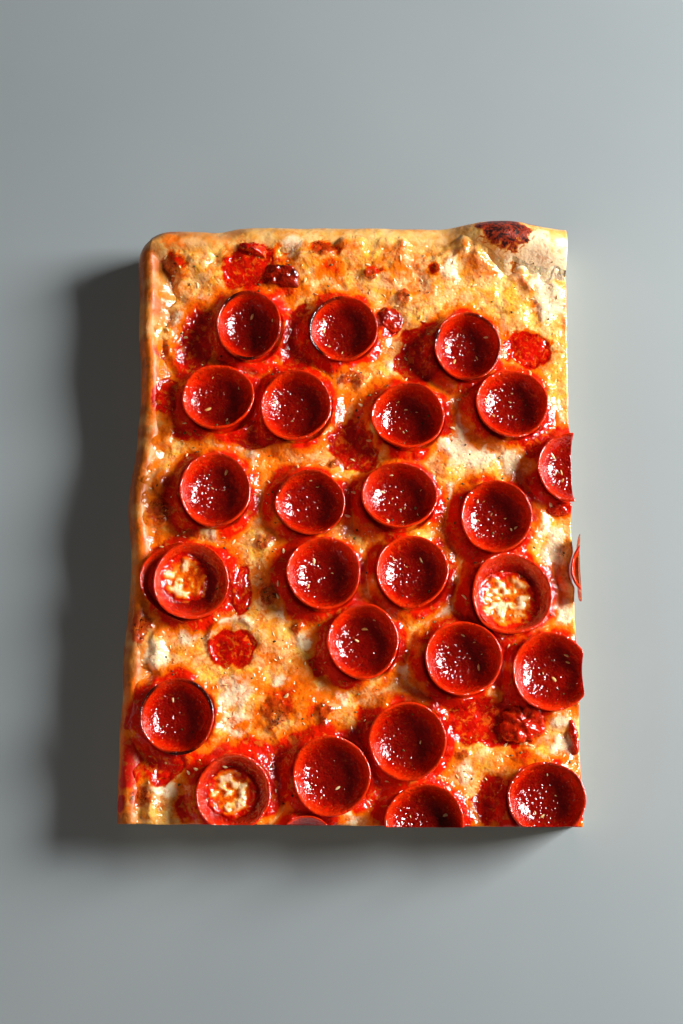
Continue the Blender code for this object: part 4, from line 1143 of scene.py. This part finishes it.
def soiled(tree, mottle, sauce_tone, base):
    """Lays the golden rim, which along the left rim is painted shade as well as browning, pale cheese, oil
    stains, sauce and browned blisters over a colour.
    """
    # Golden browning, which along the left rim is also painted shade.
    base = blend(tree, mask(tree, "golden_and_shade"), base, colour(172, 84, 14))
    middling = use(tree, mottle, Size=0.0026, Amount=0.45, Softness=0.12, Place=0.3)
    fine = use(tree, mottle, Size=0.0011, Amount=0.4, Softness=0.14, Place=0.7)
    uneven = plus(tree, times(tree, middling, 0.35), times(tree, fine, 0.15))
    pale = times(tree, mask(tree, "cream"), plus(tree, uneven, 0.7))
    base = blend(tree, pale, base, colour(255, 229, 192))

    def patchy(name, noise_mask, middle, strength):
        """A mask with its edges broken up by noise."""
        return plus(tree, mask(tree, name), times(tree, minus(tree, noise_mask, middle), strength))

    stained = patchy("stained", uneven, 0.3, 0.5)
    base = blend(tree, step(tree, stained, 0.08, 0.42), base, colour(238, 112, 8))
    base = blend(tree, step(tree, stained, 0.38, 0.8), base, colour(214, 26, 2))
    wet = patchy("saucy", uneven, 0.3, 0.4)
    base = blend(tree, step(tree, wet, 0.15, 0.85), base, use(tree, sauce_tone))
    brown = patchy("browned", uneven, 0.3, 0.8)
    broken = minus(tree, 0.95, times(tree, middling, 0.4))
    base = blend(tree, times(tree, step(tree, brown, 0.25, 0.75), broken), base, colour(176, 54, 8))
    burnt = times(tree, brown, plus(tree, fine, 0.25))
    base = blend(tree, step(tree, burnt, 0.6, 1.15), base, colour(70, 14, 5))
    char = patchy("char", middling, 0.5, 0.45)
    base = blend(tree, step(tree, char, 0.1, 0.35), base, colour(206, 118, 34))
    base = blend(tree, step(tree, char, 0.3, 0.6), base, colour(150, 42, 12))
    coal = step(tree, times(tree, char, plus(tree, fine, 0.6)), 0.5, 1.0)
    return blend(tree, coal, base, colour(44, 10, 7))


def cheese_material(mottle, grain, crust_tone, sauce_tone):
    material, tree, shader = new_material(
        "melted_cheese", Subsurface_Weight=0.3, Subsurface_Radius=(0.005, 0.0024, 0.0007),
        Subsurface_Scale=0.4, Coat_Weight=0.06, Coat_Roughness=0.06, Specular_IOR_Level=0.6,
    )
    wide = use(tree, mottle, Size=0.009, Amount=0.5, Softness=0.18)
    middling = use(tree, mottle, Size=0.0038, Amount=0.45, Softness=0.17, Place=0.3)
    fine = use(tree, mottle, Size=0.0014, Amount=0.36, Softness=0.12, Place=0.7)
    base = blend(tree, wide, colour(254, 190, 66), colour(232, 108, 5))
    base = blend(tree, times(tree, middling, 0.6), base, colour(255, 218, 156))
    base = blend(tree, times(tree, fine, 0.45), base, colour(204, 70, 2))
    bare = use(tree, crust_tone)
    base = blend(tree, step(tree, mask(tree, "thin"), 0.15, 0.95), base, bare)
    base = soiled(tree, mottle, sauce_tone, base)
    roughness = plus(tree, 0.08, times(tree, middling, 0.14))
    height = use(tree, grain, Size=0.0016, Pits=0.35)
    finish_material(tree, shader, base, roughness, height, 0.55, 0.0007)
    return material


def sauce_material(mottle, grain, sauce_tone):
    material, tree, shader = new_material(
        "wet_sauce", Subsurface_Weight=0.12, Subsurface_Radius=(0.003, 0.0005, 0.0002),
        Subsurface_Scale=0.5, Coat_Weight=0.12, Coat_Roughness=0.1, Specular_IOR_Level=0.8,
    )
    seeds = use(tree, mottle, Size=0.0009, Amount=0.3, Softness=0.08, Place=0.5)
    bits = use(tree, mottle, Size=0.0021, Amount=0.36, Softness=0.08, Place=0.8)
    base = use(tree, sauce_tone)
    lumpy = times(tree, step(tree, mask(tree, "lumpy"), 0.2, 1.0), 0.6)
    base = blend(tree, lumpy, base, colour(222, 30, 2))
    base = blend(tree, times(tree, bits, 0.55), base, colour(242, 112, 22))
    roughness = plus(tree, 0.12, times(tree, seeds, 0.12))
    height = use(tree, grain, Size=0.0016, Pits=0.3)
    finish_material(tree, shader, base, roughness, height, 0.5, 0.0006)
    return material


def pepperoni_material(mottle, grain):
    material, tree, shader = new_material(
        "cupped_pepperoni", Subsurface_Weight=0.3, Subsurface_Radius=(0.004, 0.0006, 0.0002),
        Subsurface_Scale=0.5, Coat_Weight=0.05, Coat_Roughness=0.06, Specular_IOR_Level=0.85,
    )
    meat = use(tree, mottle, Size=0.0035, Amount=0.5, Softness=0.15)
    fat = use(tree, mottle, Size=0.0011, Amount=0.3, Softness=0.06, Place=0.4)
    base = blend(tree, meat, colour(208, 22, 3), colour(164, 10, 1))
    base = blend(tree, times(tree, fat, 0.45), base, colour(242, 100, 30))
    # Painted glow: the upper inner wall is painted orange, as if light shone through the thin meat.
    upper = times(tree, step(tree, mask(tree, "depth"), 0.6, 0.1), mask(tree, "within"))
    base = blend(tree, times(tree, upper, 0.3), base, colour(238, 62, 6))
    # Painted glow: the rim is painted orange, as if light shone through its thin edge.
    base = blend(tree, times(tree, mask(tree, "rim"), 0.6), base, colour(236, 56, 8))
    # Darker deep in the cup: partly dark oil pooled on its floor, partly painted shade in the hollow.
    deep = times(tree, step(tree, mask(tree, "depth"), 0.3, 0.85), mask(tree, "within"))
    base = blend(tree, times(tree, deep, 0.75), base, colour(100, 3, 1))
    base = blend(tree, mask(tree, "char"), base, colour(50, 9, 4))
    roughness = plus(tree, 0.09, times(tree, fat, 0.1))
    height = use(tree, grain, Size=0.0014, Pits=0.5)
    finish_material(tree, shader, base, roughness, height, 0.55, 0.0007)
    return material


def crust_material(mottle, grain, crust_tone, sauce_tone):
    material, tree, shader = new_material(
        "baked_crust", Subsurface_Weight=0.1, Subsurface_Radius=(0.003, 0.0018, 0.0008),
        Subsurface_Scale=0.5, Coat_Weight=0.15, Coat_Roughness=0.25, Specular_IOR_Level=0.4,
    )
    wide = use(tree, mottle, Size=0.010, Amount=0.5, Softness=0.18)
    middling = use(tree, mottle, Size=0.0032, Amount=0.4, Softness=0.14, Place=0.2)
    base = soiled(tree, mottle, sauce_tone, use(tree, crust_tone))
    # Painted shade: the crumb is darker and yellower deep in its pockets.
    crumb = blend(tree, mask(tree, "pocket"), colour(243, 226, 184), colour(224, 188, 126))
    base = blend(tree, mask(tree, "cut"), base, crumb)
    toast = times(tree, mask(tree, "toast"), plus(tree, 0.7, times(tree, middling, 0.3)))
    base = blend(tree, toast, base, blend(tree, wide, colour(200, 118, 36), colour(164, 80, 18)))
    roughness = minus(tree, 0.55, times(tree, middling, 0.15))
    height = use(tree, grain, Size=0.0014, Pits=0.25)
    finish_material(tree, shader, base, roughness, height, 0.3, 0.0007)
    return material


def herb_material(grain):
    material, tree, shader = new_material("dried_herbs", Coat_Weight=0.3, Coat_Roughness=0.2)
    tint = mask(tree, "tint")
    base = blend(tree, step(tree, tint, 0.15, 0.45), colour(252, 228, 172), colour(214, 160, 84))
    base = blend(tree, step(tree, tint, 0.5, 0.65), base, colour(96, 92, 30))
    base = blend(tree, step(tree, tint, 0.75, 0.98), base, colour(40, 34, 14))
    height = use(tree, grain, Size=0.0004, Pits=0.2)
    roughness = plus(tree, 0.4, times(tree, tint, 0.2))
    finish_material(tree, shader, base, roughness, height, 0.4, 0.0002)
    return material


# The floor, the lights and the camera

def make_floor():
    mesh = bpy.data.meshes.new("floor")
    bm = bmesh.new()
    bmesh.ops.create_grid(bm, x_segments=1, y_segments=1, size=0.9)
    bm.to_mesh(mesh)
    bm.free()
    floor = bpy.data.objects.new("floor", mesh)
    bpy.context.scene.collection.objects.link(floor)
    material, tree, shader = new_material("pale_floor")
    place = add(tree, "TexCoord").outputs["Object"]
    soft = add(tree, "TexNoise", {"Vector": place, "Scale": 9.0, "Detail": 3.0}).outputs["Fac"]
    base = blend(tree, soft, colour(130, 140, 146), colour(142, 151, 156))
    tree.links.new(base, shader.inputs["Base Color"])
    shader.inputs["Roughness"].default_value = 0.6
    mesh.materials.append(material)


def make_light(name, place, size, power, tint, glossy=True, target=(0, 0, 0.02)):
    data = bpy.data.lights.new(name, "AREA")
    data.shape = "RECTANGLE"
    data.size, data.size_y = size
    data.energy = power
    data.color = tint
    light = bpy.data.objects.new(name, data)
    light.location = place
    light.visible_glossy = glossy
    light.rotation_euler = (Vector(target) - Vector(place)).to_track_quat("-Z", "Y").to_euler()
    bpy.context.scene.collection.objects.link(light)


def make_world():
    world = bpy.data.worlds.new("studio")
    bpy.context.scene.world = world
    world.use_nodes = True
    tree = world.node_tree
    background = tree.nodes["Background"]
    background.inputs["Color"].default_value = colour(226, 232, 236)
    seen = times(tree, add(tree, "LightPath").outputs["Is Camera Ray"], 0.45)
    tree.links.new(plus(tree, seen, 0.02), background.inputs["Strength"])


def make_camera():
    """Looks down 77 degrees from the front, 0.48 m from the slice."""
    tilt, roll, distance = 0.2198, math.radians(0.42), 0.4808
    look = Vector((0, math.sin(tilt), -math.cos(tilt)))
    up = Vector((0, math.cos(tilt), math.sin(tilt)))
    right = Vector((1, 0, 0))
    turned_right = math.cos(roll) * right + math.sin(roll) * up
    turned_up = -math.sin(roll) * right + math.cos(roll) * up
    place = Vector((-0.0029, -0.001, 0.024)) - distance * look
    data = bpy.data.cameras.new("camera")
    data.lens = 50
    data.sensor_width = 36
    camera = bpy.data.objects.new("camera", data)
    turn = Matrix((turned_right, turned_up, -look)).transposed().to_4x4()
    camera.matrix_world = Matrix.Translation(place) @ turn
    bpy.context.scene.collection.objects.link(camera)
    bpy.context.scene.camera = camera


bpy.context.scene.view_settings.view_transform = "Standard"
make_camera()
mottle, grain = mottle_group(), grain_group()
crust_tone, sauce_tone = crust_tone_group(mottle), sauce_tone_group(mottle)
cheese = cheese_material(mottle, grain, crust_tone, sauce_tone)
sauce = sauce_material(mottle, grain, sauce_tone)
pepperoni = pepperoni_material(mottle, grain)
make_crust(crust_material(mottle, grain, crust_tone, sauce_tone))
make_cheese(cheese)
make_sauce(sauce)
cup_floors = make_cups(pepperoni)
make_tucked_slice(pepperoni)
make_scraps(pepperoni, sauce)
make_fills(cheese)
make_herbs(herb_material(grain), cup_floors)
make_floor()
make_world()
make_light("window", (0.88, 0.24, 0.56), (0.42, 0.42), 28, (1.0, 0.97, 0.92))
make_light("bounce", (-0.5, -0.6, 0.5), (0.7, 0.7), 2.4, (1.0, 0.86, 0.74), glossy=False)
